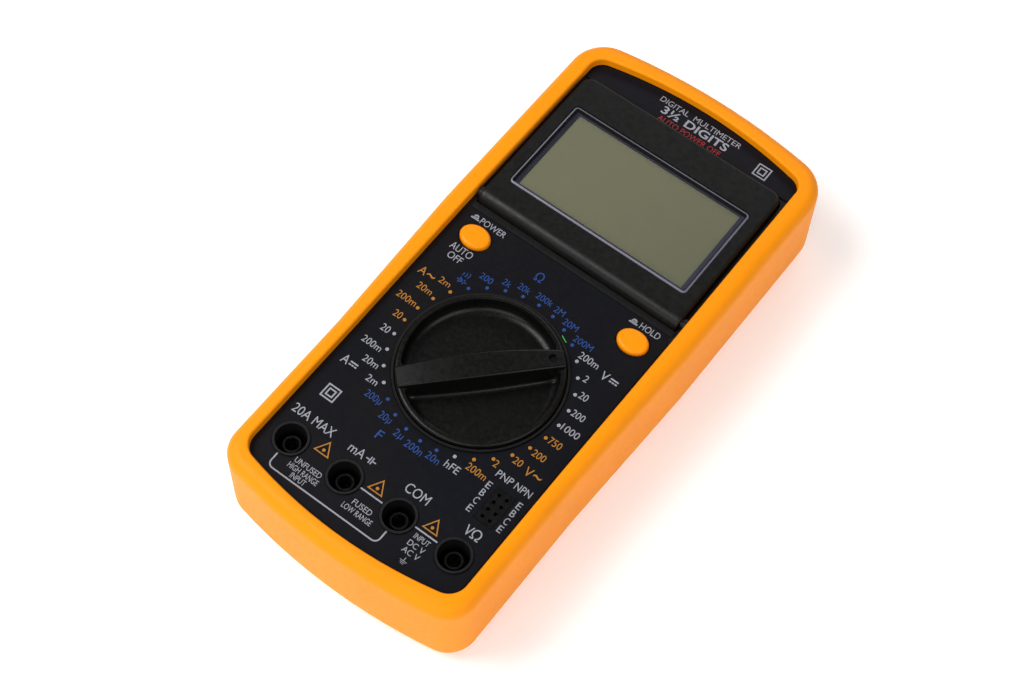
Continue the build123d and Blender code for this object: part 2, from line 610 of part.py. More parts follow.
def make_display_back():
    back = display_body(DISPLAY_LOW, DISPLAY_LOW + DISPLAY_BACK_T)
    far_edge = back.edges().filter_by(Axis.X).group_by(Axis.Y)[-1].sort_by(Axis.Z)[0]
    back = chamfer(far_edge, 1.2)
    bores = []
    for x, y in DISPLAY_SCREW_SPOTS:
        bores.append(rod(DISPLAY_SCREW_R + HEAD_CLEARANCE, 0, RIM_Z, x, y))
        bores.append(rod(DISPLAY_HEAD_R + HEAD_CLEARANCE / 2, 0, DISPLAY_LOW + 0.8, x, y))
    slot = box(-FLEX_SLOT, FLEX_SLOT, HINGE_Y - 1, HINGE_Y + 6, 0, RIM_Z)
    return cut(back, bores + [slot])


def make_display_screws():
    screws = []
    for x, y in DISPLAY_SCREW_SPOTS:
        head = rod(DISPLAY_HEAD_R, DISPLAY_LOW + 0.1, DISPLAY_LOW + 0.8, x, y)
        head -= box(x - 1.2, x + 1.2, y - 0.2, y + 0.2, 0, DISPLAY_LOW + 0.4)
        screws.append(head + rod(DISPLAY_SCREW_R, DISPLAY_LOW + 0.8, DISPLAY_LOW + 5.0, x, y))
    return join(screws)


def lens_span(inset):
    """Plan limits of the lens, moved in by a margin."""
    y1 = DISPLAY_TOP_Y - LENS_FROM_END
    return (inset - LENS_W / 2, LENS_W / 2 - inset, y1 - LENS_L + inset, y1 - inset)


def make_lcd_lens():
    lens = plate(*lens_span(0), RIM_Z - LENS_T, RIM_Z - 0.05, LENS_R)
    return chamfer(lens.edges().group_by(Axis.Z)[-1], 0.3)


def make_lcd_border():
    low = RIM_Z - LENS_T - 0.3
    frame = box(*lens_span(1.3), low, RIM_Z - LENS_T)
    x0, x1 = lens_span(BEZEL_BORDER)[:2]
    y0, y1 = lens_span(BEZEL_BORDER_Y)[2:]
    return frame - box(x0, x1, y0, y1, low - 1, RIM_Z)


def make_lcd_glass():
    top = RIM_Z - LENS_T - 0.3
    return box(*lens_span(1.3), top - GLASS_T, top)


def make_zebra_strips():
    top = RIM_Z - LENS_T - 0.3 - GLASS_T
    x0, x1, y0, y1 = lens_span(2.2)
    low = DISPLAY_LOW + DISPLAY_BACK_T + 1.0
    return (box(x0, x1, y0, y0 + 2.0, low, top)
            + box(x0, x1, y1 - 2.0, y1, low, top))


def make_lcd_board():
    low = DISPLAY_LOW + DISPLAY_BACK_T
    return box(*lens_span(1.0), low, low + 1.0)


def make_hinge_pins():
    end = WELL_HALF + HINGE_PIN_HOLD
    return join([pin_x(HINGE_PIN_R, sx * (end - HINGE_PIN_L), sx * end, HINGE_Y, HINGE_Z)
                 for sx in (-1, 1)])


def cable(y0, y1, z0, z1):
    """A straight piece of the flat cable."""
    return box(-FLEX_HALF, FLEX_HALF, y0, y1, z0, z1)


def make_display_flex():
    low = DISPLAY_LOW + DISPLAY_BACK_T + 1.0
    far = HINGE_Y + FLEX_REACH
    top = HINGE_Z + 1.0
    half = FLEX_T / 2
    return (cable(HINGE_Y - half, HINGE_Y + half, HINGE_Z + FLEX_SPLIT, top)
            + cable(HINGE_Y - half, far, top - FLEX_T, top)
            + cable(far - FLEX_T, far, low, top)
            + cable(far - FLEX_T, lens_span(1.0)[2] + 1.0, low, low + FLEX_T))


def make_board_flex():
    plug = box(-FLEX_SLOT - 0.5, FLEX_SLOT + 0.5, HINGE_Y - 2.0, HINGE_Y + 2.0, PCB_Z, PCB_Z + 2.4)
    half = FLEX_T / 2
    return plug + cable(HINGE_Y - half, HINGE_Y + half, PCB_Z + 2.4, HINGE_Z - FLEX_SPLIT)


# ---------------------------------------------------------------- range selector
def grip_prism(grow, z0, z1):
    """Plan shape of the finger grip across the knob."""
    tip = GRIP_TIP_W / 2 + grow
    tail = GRIP_TAIL_W / 2 + grow
    mid = GRIP_MID_W / 2 + grow
    upper = ThreePointArc((-KNOB_R, tail), (0, mid), (KNOB_R, tip))
    lower = ThreePointArc((KNOB_R, -tip), (0, -mid), (-KNOB_R, -tail))
    face = make_face([upper, Line((KNOB_R, tip), (KNOB_R, -tip)), lower,
                      Line((-KNOB_R, -tail), (-KNOB_R, tail))])
    return slab(face, z0, z1)


def make_knob():
    rim_z = FACE_Z + KNOB_TOP
    disc = rod(KNOB_R, KNOB_LOW, rim_z)
    disc = fillet(disc.edges().group_by(Axis.Z)[-1], RIM_EDGE_R)
    high = RIM_Z + 4
    dish = rod(DISH_R, rim_z - DISH_DEPTH, high)
    dish = fillet(dish.edges().group_by(Axis.Z)[0], DISH_FLOOR_R) - grip_prism(0, 0, high + 1)
    walls = dish.faces().filter_by(GeomType.CYLINDER).filter_by(
        lambda f: abs(f.center().Y) < GRIP_MID_W)
    foot = [e for f in walls for e in f.edges() if e.center().Z < high - 0.01]
    dish = fillet(foot, GRIP_FOOT_R)
    crown = ThreePointArc((-KNOB_R, FACE_Z + GRIP_END_Z),
                          (0, FACE_Z + GRIP_END_Z + GRIP_CROWN), (KNOB_R, FACE_Z + GRIP_END_Z))
    side = make_face([crown, Polyline((KNOB_R, FACE_Z + GRIP_END_Z), (KNOB_R, KNOB_LOW + 2),
                                      (-KNOB_R, KNOB_LOW + 2),
                                      (-KNOB_R, FACE_Z + GRIP_END_Z))])
    blade = extrude(Plane.XZ * side, KNOB_R, both=True)
    grip = blade & grip_prism(-GRIP_STEP, KNOB_LOW + 2, RIM_Z + 4)
    grip &= rod(KNOB_R - RIM_EDGE_R / 2, 0, RIM_Z + 4)
    long_edges = grip.edges().filter_by(
        lambda e: e.center().Z > FACE_Z + GRIP_END_Z - 0.01 and e.length > KNOB_R)
    grip = fillet(long_edges, GRIP_EDGE_R)
    knob = disc - dish + grip
    socket = rod(4.1, KNOB_LOW - 1, KNOB_LOW + 3.4)
    pointer = rod(POINTER_R, FACE_Z + GRIP_END_Z - 0.6, RIM_Z + 4, POINTER_AT)
    return at_dial(knob - socket - pointer, POINTER_ANGLE)


def make_pointer_inlay():
    low = FACE_Z + GRIP_END_Z - 0.6
    ring = rod(POINTER_R - PIN_FIT, low, low + 0.3, POINTER_AT)
    return at_dial(ring, POINTER_ANGLE)


def detent_angles():
    return [POINTER_ANGLE, POINTER_ANGLE + 180]


def make_rotor():
    flange = rod(ROTOR_R, ROTOR_LOW, ROTOR_TOP) - rod(ROTOR_R - 8, ROTOR_LOW + 1.6, RIM_Z)
    hub = rod(4.0, ROTOR_LOW, KNOB_LOW + 3.2) + rod(9.0, ROTOR_LOW, KNOB_LOW)
    axle = rod(ROTOR_PIN_R, PCB_LOW - 2.4, ROTOR_LOW)
    ribs = [Rot(0, 0, 60 * i) * box(0, ROTOR_R - 6, -0.8, 0.8, ROTOR_LOW, ROTOR_TOP)
            for i in range(6)]
    body = join([flange, hub, axle] + ribs)
    pockets = []
    for side in (0, 180):
        bore = pin_x(BALL_R + PIN_FIT, ROTOR_R - 7.0, ROTOR_R + 1, 0, ROTOR_LOW + ROTOR_T / 2)
        pockets.append(Rot(0, 0, side) * bore)
    clip_bore = rod(0.9, PCB_LOW - 3, ROTOR_LOW + 4)
    return at_dial(cut(body, pockets + [clip_bore]), POINTER_ANGLE)


def make_rotor_screw():
    head = rod(4.4, PCB_LOW - 4.0, PCB_LOW - 2.4)
    head -= box(-3, 3, -0.4, 0.4, PCB_LOW - 4.4, PCB_LOW - 3.4)
    return at_dial(head + rod(0.85, PCB_LOW - 2.4, ROTOR_LOW + 3.4), POINTER_ANGLE)


def make_rotor_contacts():
    fingers = []
    for i in range(CONTACT_RINGS):
        reach = CONTACT_FIRST - 0.7 + CONTACT_STEP * i
        arm = box(reach, reach + 1.4, -3.2, 3.2, ROTOR_LOW - 0.25, ROTOR_LOW)
        tips = (box(reach, reach + 1.4, -3.2, -2.2, PCB_Z + 0.1, ROTOR_LOW - 0.25)
                + box(reach, reach + 1.4, 2.2, 3.2, PCB_Z + 0.1, ROTOR_LOW - 0.25))
        fingers.append(at_dial(arm + tips, POINTER_ANGLE + 60 * i + 30))
    return join(fingers)


def make_detent_balls():
    z = ROTOR_LOW + ROTOR_T / 2
    reach = ROTOR_R + DETENT_RING_GAP - 0.1 - BALL_R
    return join([at_dial(Pos(reach, 0, z) * Sphere(BALL_R), angle) for angle in detent_angles()])


def make_detent_springs():
    z = ROTOR_LOW + ROTOR_T / 2
    start = ROTOR_R - 7.0
    end = ROTOR_R + DETENT_RING_GAP - 0.1 - 2 * BALL_R
    springs = []
    for angle in detent_angles():
        coil = pin_x(1.1, start, end, 0, z) - pin_x(0.7, start, end, 0, z)
        springs.append(at_dial(coil, angle))
    return join(springs)


# ---------------------------------------------------------------- sockets
def make_jack(x):
    top = FACE_Z - JACK_TOP
    tube = rod(JACK_TUBE_R, top - JACK_LENGTH, top, x, JACK_Y)
    flange = rod(JACK_TUBE_R + 1.0, PCB_LOW - 0.8, PCB_LOW, x, JACK_Y)
    bore = rod(JACK_BORE_R, top - JACK_LENGTH + 1.0, top + 1, x, JACK_Y)
    return tube + flange - bore


def make_jack_sleeves():
    top = FACE_Z - JACK_TOP
    sleeves = []
    for x in JACK_XS:
        ring = rod(SLEEVE_R, FACE_Z - WELL_FLOOR, top + COLLAR_H, x, JACK_Y)
        ring -= rod(JACK_TUBE_R, 0, top, x, JACK_Y)
        ring -= rod(JACK_BORE_R, top - 1, top + COLLAR_H + 1, x, JACK_Y)
        sleeves.append(ring)
    return join(sleeves)


def hfe_spots():
    """The eight pin holes of the transistor socket."""
    return [(HFE_X + sx * PIN_PITCH / 2, HFE_Y + (row - 1.5) * PIN_PITCH)
            for sx in (-1, 1) for row in range(4)]


def make_hfe_socket():
    body = hfe_block(0, FACE_Z - HFE_DEPTH, FACE_Z + 0.1)
    holes = []
    for x, y in hfe_spots():
        holes.append(box(x - 0.5, x + 0.5, y - 0.5, y + 0.5, 0, RIM_Z))
        holes.append(box(x - 0.8, x + 0.8, y - 0.8, y + 0.8, 0, FACE_Z - 1.6))
    return cut(body, holes)


def make_hfe_contacts():
    contacts = []
    for x, y in hfe_spots():
        sleeve = box(x - 0.75, x + 0.75, y - 0.75, y + 0.75, FACE_Z - HFE_DEPTH, FACE_Z - 1.7)
        sleeve -= box(x - 0.45, x + 0.45, y - 0.45, y + 0.45, FACE_Z - HFE_DEPTH + 1, RIM_Z)
        contacts.append(sleeve + rod(0.3, PCB_LOW - 0.8, FACE_Z - HFE_DEPTH, x, y))
    return join(contacts)


# ---------------------------------------------------------------- buttons
def button_levels():
    """Flange underside, flange top and cap top of a button at rest."""
    flange_top = PLATE_LOW - 0.2
    return flange_top - FLANGE_T, flange_top, FACE_Z + BUTTON_TOP


def make_button(side):
    low, flange_top, top = button_levels()
    x = side * BUTTON_X
    cap = ellipse_prism(0, flange_top, top, x, BUTTON_Y)
    cap = fillet(cap.edges().group_by(Axis.Z)[-1], BUTTON_EDGE_R)
    flange = ellipse_prism(FLANGE_W, low, flange_top, x, BUTTON_Y)
    return cap + flange - rod(PLUNGER_R + PIN_FIT, low - 1, low + 2.0, x, BUTTON_Y)


def make_plunger(side):
    low = button_levels()[0]
    return rod(PLUNGER_R, PCB_Z + 0.4 + BUTTON_TRAVEL, low + 2.0, side * BUTTON_X, BUTTON_Y)


def make_button_spring(side):
    low = button_levels()[0]
    base = PCB_Z + SWITCH_H
    height = low - base - 2 * SPRING_WIRE_R
    path = Helix(height / SPRING_TURNS, height, SPRING_R - SPRING_WIRE_R)
    section = Plane(origin=path @ 0, z_dir=path % 0) * Circle(SPRING_WIRE_R)
    coil = sweep(section, path=path)
    return Pos(side * BUTTON_X, BUTTON_Y, base + SPRING_WIRE_R) * coil


def make_switch_body(side):
    x = side * BUTTON_X
    half = SWITCH_W / 2
    body = plate(x - half, x + half, BUTTON_Y - half, BUTTON_Y + half, PCB_Z,
                 PCB_Z + SWITCH_H, 0.6)
    return body - rod(PLUNGER_R + 0.1, PCB_Z + 0.3, PCB_Z + SWITCH_H + 1, x, BUTTON_Y)


# ---------------------------------------------------------------- circuit board
def board_outline():
    low = body_outline(CASE_INSET + CASE_WALL + PCB_EDGE_GAP)
    return low & Pos(0, PCB_TOP_Y - LENGTH) * Rectangle(2 * WIDTH, 2 * LENGTH)


def make_main_board():
    board = slab(board_outline(), PCB_LOW, PCB_Z)
    holes = [rod(CASE_POST_R + 0.6, 0, RIM_Z, x, y) for x, y in CASE_SCREW_SPOTS]
    holes += [rod(BOARD_SCREW_R + 0.3, 0, RIM_Z, x, y) for x, y in PCB_SCREW_SPOTS]
    holes += [rod(JACK_TUBE_R + PIN_FIT, 0, RIM_Z, x, JACK_Y) for x in JACK_XS]
    holes += [rod(0.4, 0, RIM_Z, x, y) for x, y in hfe_spots()]
    holes.append(at_dial(rod(ROTOR_PIN_R + PIN_FIT, 0, RIM_Z)))
    return cut(board, holes)


def make_board_screws():
    screws = []
    for x, y in PCB_SCREW_SPOTS:
        head = rod(BOARD_HEAD_R, PCB_LOW - 1.3, PCB_LOW, x, y)
        head -= box(x - 1.5, x + 1.5, y - 0.25, y + 0.25, PCB_LOW - 2, PCB_LOW - 0.8)
        screws.append(head + rod(BOARD_SCREW_R, PCB_LOW, PCB_Z + 4.0, x, y))
    return join(screws)


def make_switch_tracks():
    tracks = []
    for i in range(CONTACT_RINGS):
        reach = CONTACT_FIRST + CONTACT_STEP * i
        tracks.append(at_dial(rod(reach + TRACK_W / 2, PCB_Z, PCB_Z + 0.05)
                              - rod(reach - TRACK_W / 2, 0, RIM_Z)))
    return join(tracks)


def make_fuse():
    half = FUSE_L / 2
    fuse = pin_x(FUSE_R - 0.2, FUSE_X - half, FUSE_X + half, FUSE_Y, FUSE_Z)
    for sx in (-1, 1):
        fuse += pin_x(FUSE_R, FUSE_X + sx * half, FUSE_X + sx * (half - FUSE_CAP_L), FUSE_Y, FUSE_Z)
    return fuse


def make_fuse_clips():
    clips = []
    for sx in (-1, 1):
        x = FUSE_X + sx * (FUSE_L - FUSE_CAP_L) / 2
        cheeks = box(x - FUSE_CLIP_W / 2, x + FUSE_CLIP_W / 2, FUSE_Y - FUSE_R - 0.5,
                     FUSE_Y + FUSE_R + 0.5, FUSE_Z, PCB_LOW)
        clips.append(cheeks - pin_x(FUSE_R, x - FUSE_CLIP_W, x + FUSE_CLIP_W, FUSE_Y, FUSE_Z))
    return join(clips)


def make_shunt():
    y = JACK_Y - SHUNT_FROM_JACKS
    x0, x1 = JACK_XS[0] + 3.2, JACK_XS[2] - 3.2
    low = PCB_LOW - SHUNT_DROP
    route = [(x0, y, PCB_LOW), (x0, y, low), (x1, y, low), (x1, y, PCB_LOW)]
    path = FilletPolyline(*route, radius=soft_bends(route))
    section = Plane(origin=path @ 0, z_dir=path % 0) * Circle(SHUNT_R)
    return sweep(section, path=path)


def make_buzzer():
    x, y = BUZZER_SPOT[0], DIAL_Y + BUZZER_SPOT[1]
    return (rod(BUZZER_R, FLOOR_Z, FLOOR_Z + 0.4, x, y)
            + rod(BUZZER_CERAMIC_R, FLOOR_Z + 0.4, FLOOR_Z + 0.8, x, y))


def make_main_chip():
    y = DIAL_Y + CHIP_FROM_DIAL
    half = CHIP_W / 2
    reach = half + 1.4
    package = box(-half, half, y - half, y + half, PCB_LOW - 2.2, PCB_LOW - 0.2)
    legs = []
    for i in range(CHIP_LEGS):
        step = (i - (CHIP_LEGS - 1) / 2) * CHIP_LEG_PITCH
        legs.append(box(step - 0.2, step + 0.2, y - reach, y + reach, PCB_LOW - 0.4, PCB_LOW))
        legs.append(box(-reach, reach, y + step - 0.2, y + step + 0.2, PCB_LOW - 0.4, PCB_LOW))
    return join([package] + legs)


def make_trimmers():
    trimmers = []
    half = TRIMMER_W / 2
    for x in (-20.0, -11.0):
        y = PCB_TOP_Y - 5.0
        can = box(x - half, x + half, y - half, y + half, PCB_LOW - 4.6, PCB_LOW)
        screw = rod(1.5, PCB_LOW - 5.2, PCB_LOW - 4.8, x, y)
        trimmers.append(can - rod(1.6, PCB_LOW - 6, PCB_LOW - 4.8, x, y) + screw
                        + rod(0.8, PCB_LOW - 5.0, PCB_LOW - 4.0, x, y))
    return join(trimmers)


def make_capacitors():
    y = DIAL_Y + CHIP_FROM_DIAL
    cans = [rod(CAN_R, PCB_LOW - 6.0, PCB_LOW, x, y + dy)
            for x, dy in ((-20.0, 5.0), (-20.0, -3.0), (19.0, 4.0))]
    films = [box(x - 3.6, x + 3.6, y + dy - 1.4, y + dy + 1.4, PCB_LOW - 5.4, PCB_LOW)
             for x, dy in ((19.0, -3.0), (19.0, -7.0))]
    return join(cans + films)


def make_resistors():
    bodies = []
    y, z = DIAL_Y - 30.0, PCB_LOW - RESISTOR_R - 0.1
    for i in range(RESISTORS):
        x = 3.6 + RESISTOR_PITCH * i
        body = Pos(x, y, z) * Rot(90, 0, 0) * Cylinder(RESISTOR_R, 6.0)
        legs = [rod(0.3, z - 0.2, PCB_LOW, x, y + sy * 4.0) for sy in (-1, 1)]
        lead = Pos(x, y, z) * Rot(90, 0, 0) * Cylinder(0.3, 8.4)
        bodies.append(join([body, lead] + legs))
    return join(bodies)


# ---------------------------------------------------------------- battery
def snap_place():
    """Where the snap meets the battery's end, and the height of the battery's middle."""
    return BATTERY_X + BATTERY[0] / 2 - 2.0, FLOOR_Z + BATTERY_LIFT + BATTERY[2] / 2


def make_battery():
    length, width, height = BATTERY
    low = FLOOR_Z + BATTERY_LIFT
    x, z = snap_place()
    can = plate(BATTERY_X - length / 2, x, BATTERY_Y - width / 2, BATTERY_Y + width / 2, low,
                low + height, 0.8)
    studs = [pin_x(radius, x, x + STUD_L, BATTERY_Y + side * STUD_PITCH / 2, z)
             for radius, side in zip(STUD_RS, (-1, 1))]
    return join([can] + studs)


def make_battery_snap():
    x, z = snap_place()
    block = box(x + 0.2, x + 0.2 + SNAP_T, BATTERY_Y - 12.4, BATTERY_Y + 12.4, z - 5.6, z + 5.6)
    seats = [pin_x(STUD_RS[0] + PIN_FIT, x - 1, x + STUD_L + 0.2,
                   BATTERY_Y + side * STUD_PITCH / 2, z) for side in (-1, 1)]
    return cut(block, seats)


def make_battery_lead(offset):
    """One wire from the snap down to the board, clear of the battery."""
    x, z = snap_place()
    x += 0.2 + SNAP_T
    out = x + 4.4 + offset * 2.4
    start_y = BATTERY_Y - 4.0 + offset * 2.4
    end_x = 20.0 + offset * 6.0
    end_y = PCB_TOP_Y - 4.0
    deep = PCB_LOW - 4.8
    route = [(x, start_y, z), (out, start_y, z), (out, start_y - 10.0, deep),
             (end_x, end_y, deep), (end_x, end_y, PCB_LOW)]
    radii = soft_bends(route)
    print("battery lead bends", [round(radius, 1) for radius in radii])
    path = FilletPolyline(*route, radius=radii)
    section = Plane(origin=path @ 0, z_dir=path % 0) * Circle(LEAD_R)
    return sweep(section, path=path)


# ---------------------------------------------------------------- stand
def make_stand():
    half = STAND_W / 2
    y0 = STAND_HINGE_Y - STAND_L
    panel = plate(-half, half, y0, STAND_HINGE_Y + 1, STAND_Z, STAND_Z + STAND_T, STAND_CORNER_R)
    panel -= box(-half - 1, half + 1, STAND_HINGE_Y, STAND_HINGE_Y + 4, 0, RIM_Z)
    barrel = pin_x(STAND_BARREL_R, -half, half, STAND_HINGE_Y, STAND_HINGE_Z)
    foot = box(-half, half, STAND_HINGE_Y - STAND_FOOT, STAND_HINGE_Y, STAND_Z, STAND_HINGE_Z)
    pins = pin_x(STAND_PIN_R, -half - 2.0, half + 2.0, STAND_HINGE_Y, STAND_HINGE_Z)
    window = plate(-half + 9, half - 9, y0 + 16, STAND_HINGE_Y - 12, -1, RIM_Z, STAND_CORNER_R)
    notch = Pos(0, y0, 0) * Cylinder(7.0, 4 * STAND_T)
    ribs = [box(-half + 3 + 2 * i, -half + 3.8 + 2 * i, y0 + 6, y0 + 12, STAND_Z, STAND_Z + 0.4)
            for i in range(3)]
    ribs += [mirror(rib, Plane.YZ) for rib in ribs]
    return cut(join([panel, barrel, foot, pins]), [window, notch] + ribs)


# ---------------------------------------------------------------- build everything
def build():
    nodes = {
        "holster": make_holster(), "front_case": make_front_case(),
        "rear_case": make_rear_case(), "case_screws": make_case_screws(),
        "battery_cover": make_battery_cover(),
        "battery_cover_screw": make_battery_cover_screw(),
        "main_label": make_main_label(), "top_label": make_top_label(),
        "display_frame": make_display_frame(), "display_back": make_display_back(),
        "display_screws": make_display_screws(), "lcd_lens": make_lcd_lens(),
        "lcd_border": make_lcd_border(), "lcd_glass": make_lcd_glass(),
        "zebra_strips": make_zebra_strips(), "lcd_board": make_lcd_board(),
        "hinge_pins": make_hinge_pins(), "display_flex": make_display_flex(),
        "board_flex": make_board_flex(), "selector_knob": make_knob(),
        "pointer_inlay": make_pointer_inlay(), "selector_rotor": make_rotor(),
        "rotor_screw": make_rotor_screw(), "rotor_contacts": make_rotor_contacts(),
        "detent_balls": make_detent_balls(), "detent_springs": make_detent_springs(),
        "socket_sleeves": make_jack_sleeves(), "transistor_socket": make_hfe_socket(),
        "transistor_contacts": make_hfe_contacts(), "main_board": make_main_board(),
        "board_screws": make_board_screws(), "switch_tracks": make_switch_tracks(),
        "fuse": make_fuse(), "fuse_clips": make_fuse_clips(), "current_shunt": make_shunt(),
        "buzzer": make_buzzer(), "main_chip": make_main_chip(), "trimmers": make_trimmers(),
        "capacitors": make_capacitors(), "resistors": make_resistors(),
        "battery": make_battery(), "battery_snap": make_battery_snap(),
        "battery_lead_red": make_battery_lead(0), "battery_lead_black": make_battery_lead(1),
        "tilt_stand": make_stand(),
    }
    for name, x in zip(JACK_NAMES, JACK_XS):
        nodes[name] = make_jack(x)
    for name, side in (("power", -1), ("hold", 1)):
        nodes[f"{name}_button"] = make_button(side)
        nodes[f"{name}_plunger"] = make_plunger(side)
        nodes[f"{name}_spring"] = make_button_spring(side)
        nodes[f"{name}_switch"] = make_switch_body(side)
    for name, shape in nodes.items():
        save(name, shape)


build()
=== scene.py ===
"""Look of a hand-held digital multimeter in a rubber holster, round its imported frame.

Sizes in the classes are millimetres; meshes are made in metres, in the frame's own axes.
Printed marks are placed from the middle of the range dial.
"""
from __future__ import annotations

import logging
import math
from dataclasses import dataclass, field
from enum import Enum
from typing import ClassVar, Iterable, Optional, Sequence

import bmesh
import bpy
from mathutils import Matrix, Vector

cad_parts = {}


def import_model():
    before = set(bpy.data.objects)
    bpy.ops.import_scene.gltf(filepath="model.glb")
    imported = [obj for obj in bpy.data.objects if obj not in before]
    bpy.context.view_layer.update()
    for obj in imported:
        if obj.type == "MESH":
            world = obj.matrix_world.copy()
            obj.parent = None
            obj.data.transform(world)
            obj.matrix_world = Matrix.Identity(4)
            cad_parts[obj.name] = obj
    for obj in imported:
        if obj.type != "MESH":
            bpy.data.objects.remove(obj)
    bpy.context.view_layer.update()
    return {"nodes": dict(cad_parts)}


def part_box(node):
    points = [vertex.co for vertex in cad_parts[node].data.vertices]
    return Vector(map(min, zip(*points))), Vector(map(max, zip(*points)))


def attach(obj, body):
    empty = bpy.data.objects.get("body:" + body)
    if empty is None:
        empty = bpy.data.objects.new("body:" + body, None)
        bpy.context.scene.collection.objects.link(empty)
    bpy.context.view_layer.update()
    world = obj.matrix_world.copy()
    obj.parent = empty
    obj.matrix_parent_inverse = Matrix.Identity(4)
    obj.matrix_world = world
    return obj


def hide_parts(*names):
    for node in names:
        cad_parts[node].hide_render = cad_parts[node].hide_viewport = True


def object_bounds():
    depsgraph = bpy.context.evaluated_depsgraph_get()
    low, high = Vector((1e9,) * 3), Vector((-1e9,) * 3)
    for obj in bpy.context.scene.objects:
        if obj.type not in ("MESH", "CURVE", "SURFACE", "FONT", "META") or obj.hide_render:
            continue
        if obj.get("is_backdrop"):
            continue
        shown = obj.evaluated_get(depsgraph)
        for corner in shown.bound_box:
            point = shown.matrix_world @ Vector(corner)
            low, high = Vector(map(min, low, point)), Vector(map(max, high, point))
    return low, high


LOG = logging.getLogger("multimeter")
MM = 0.001
Colour = tuple[float, float, float]


def linear(colour: Colour) -> tuple[float, float, float, float]:
    """Turns a screen colour of 0 to 255 into linear light.

    Args:
        colour: red, green and blue, each 0 to 255.

    Returns:
        Linear red, green, blue and an alpha of 1.
    """
    parts = []
    for part in colour:
        share = part / 255.0
        parts.append(share / 12.92 if share <= 0.04045 else ((share + 0.055) / 1.055) ** 2.4)
    return (parts[0], parts[1], parts[2], 1.0)


def dimmed(colour: Sequence[float], share: float) -> tuple[float, ...]:
    """A linear colour made darker by a share of 0 to 1."""
    return tuple(part * (1.0 - share) for part in colour[:3]) + (1.0,)


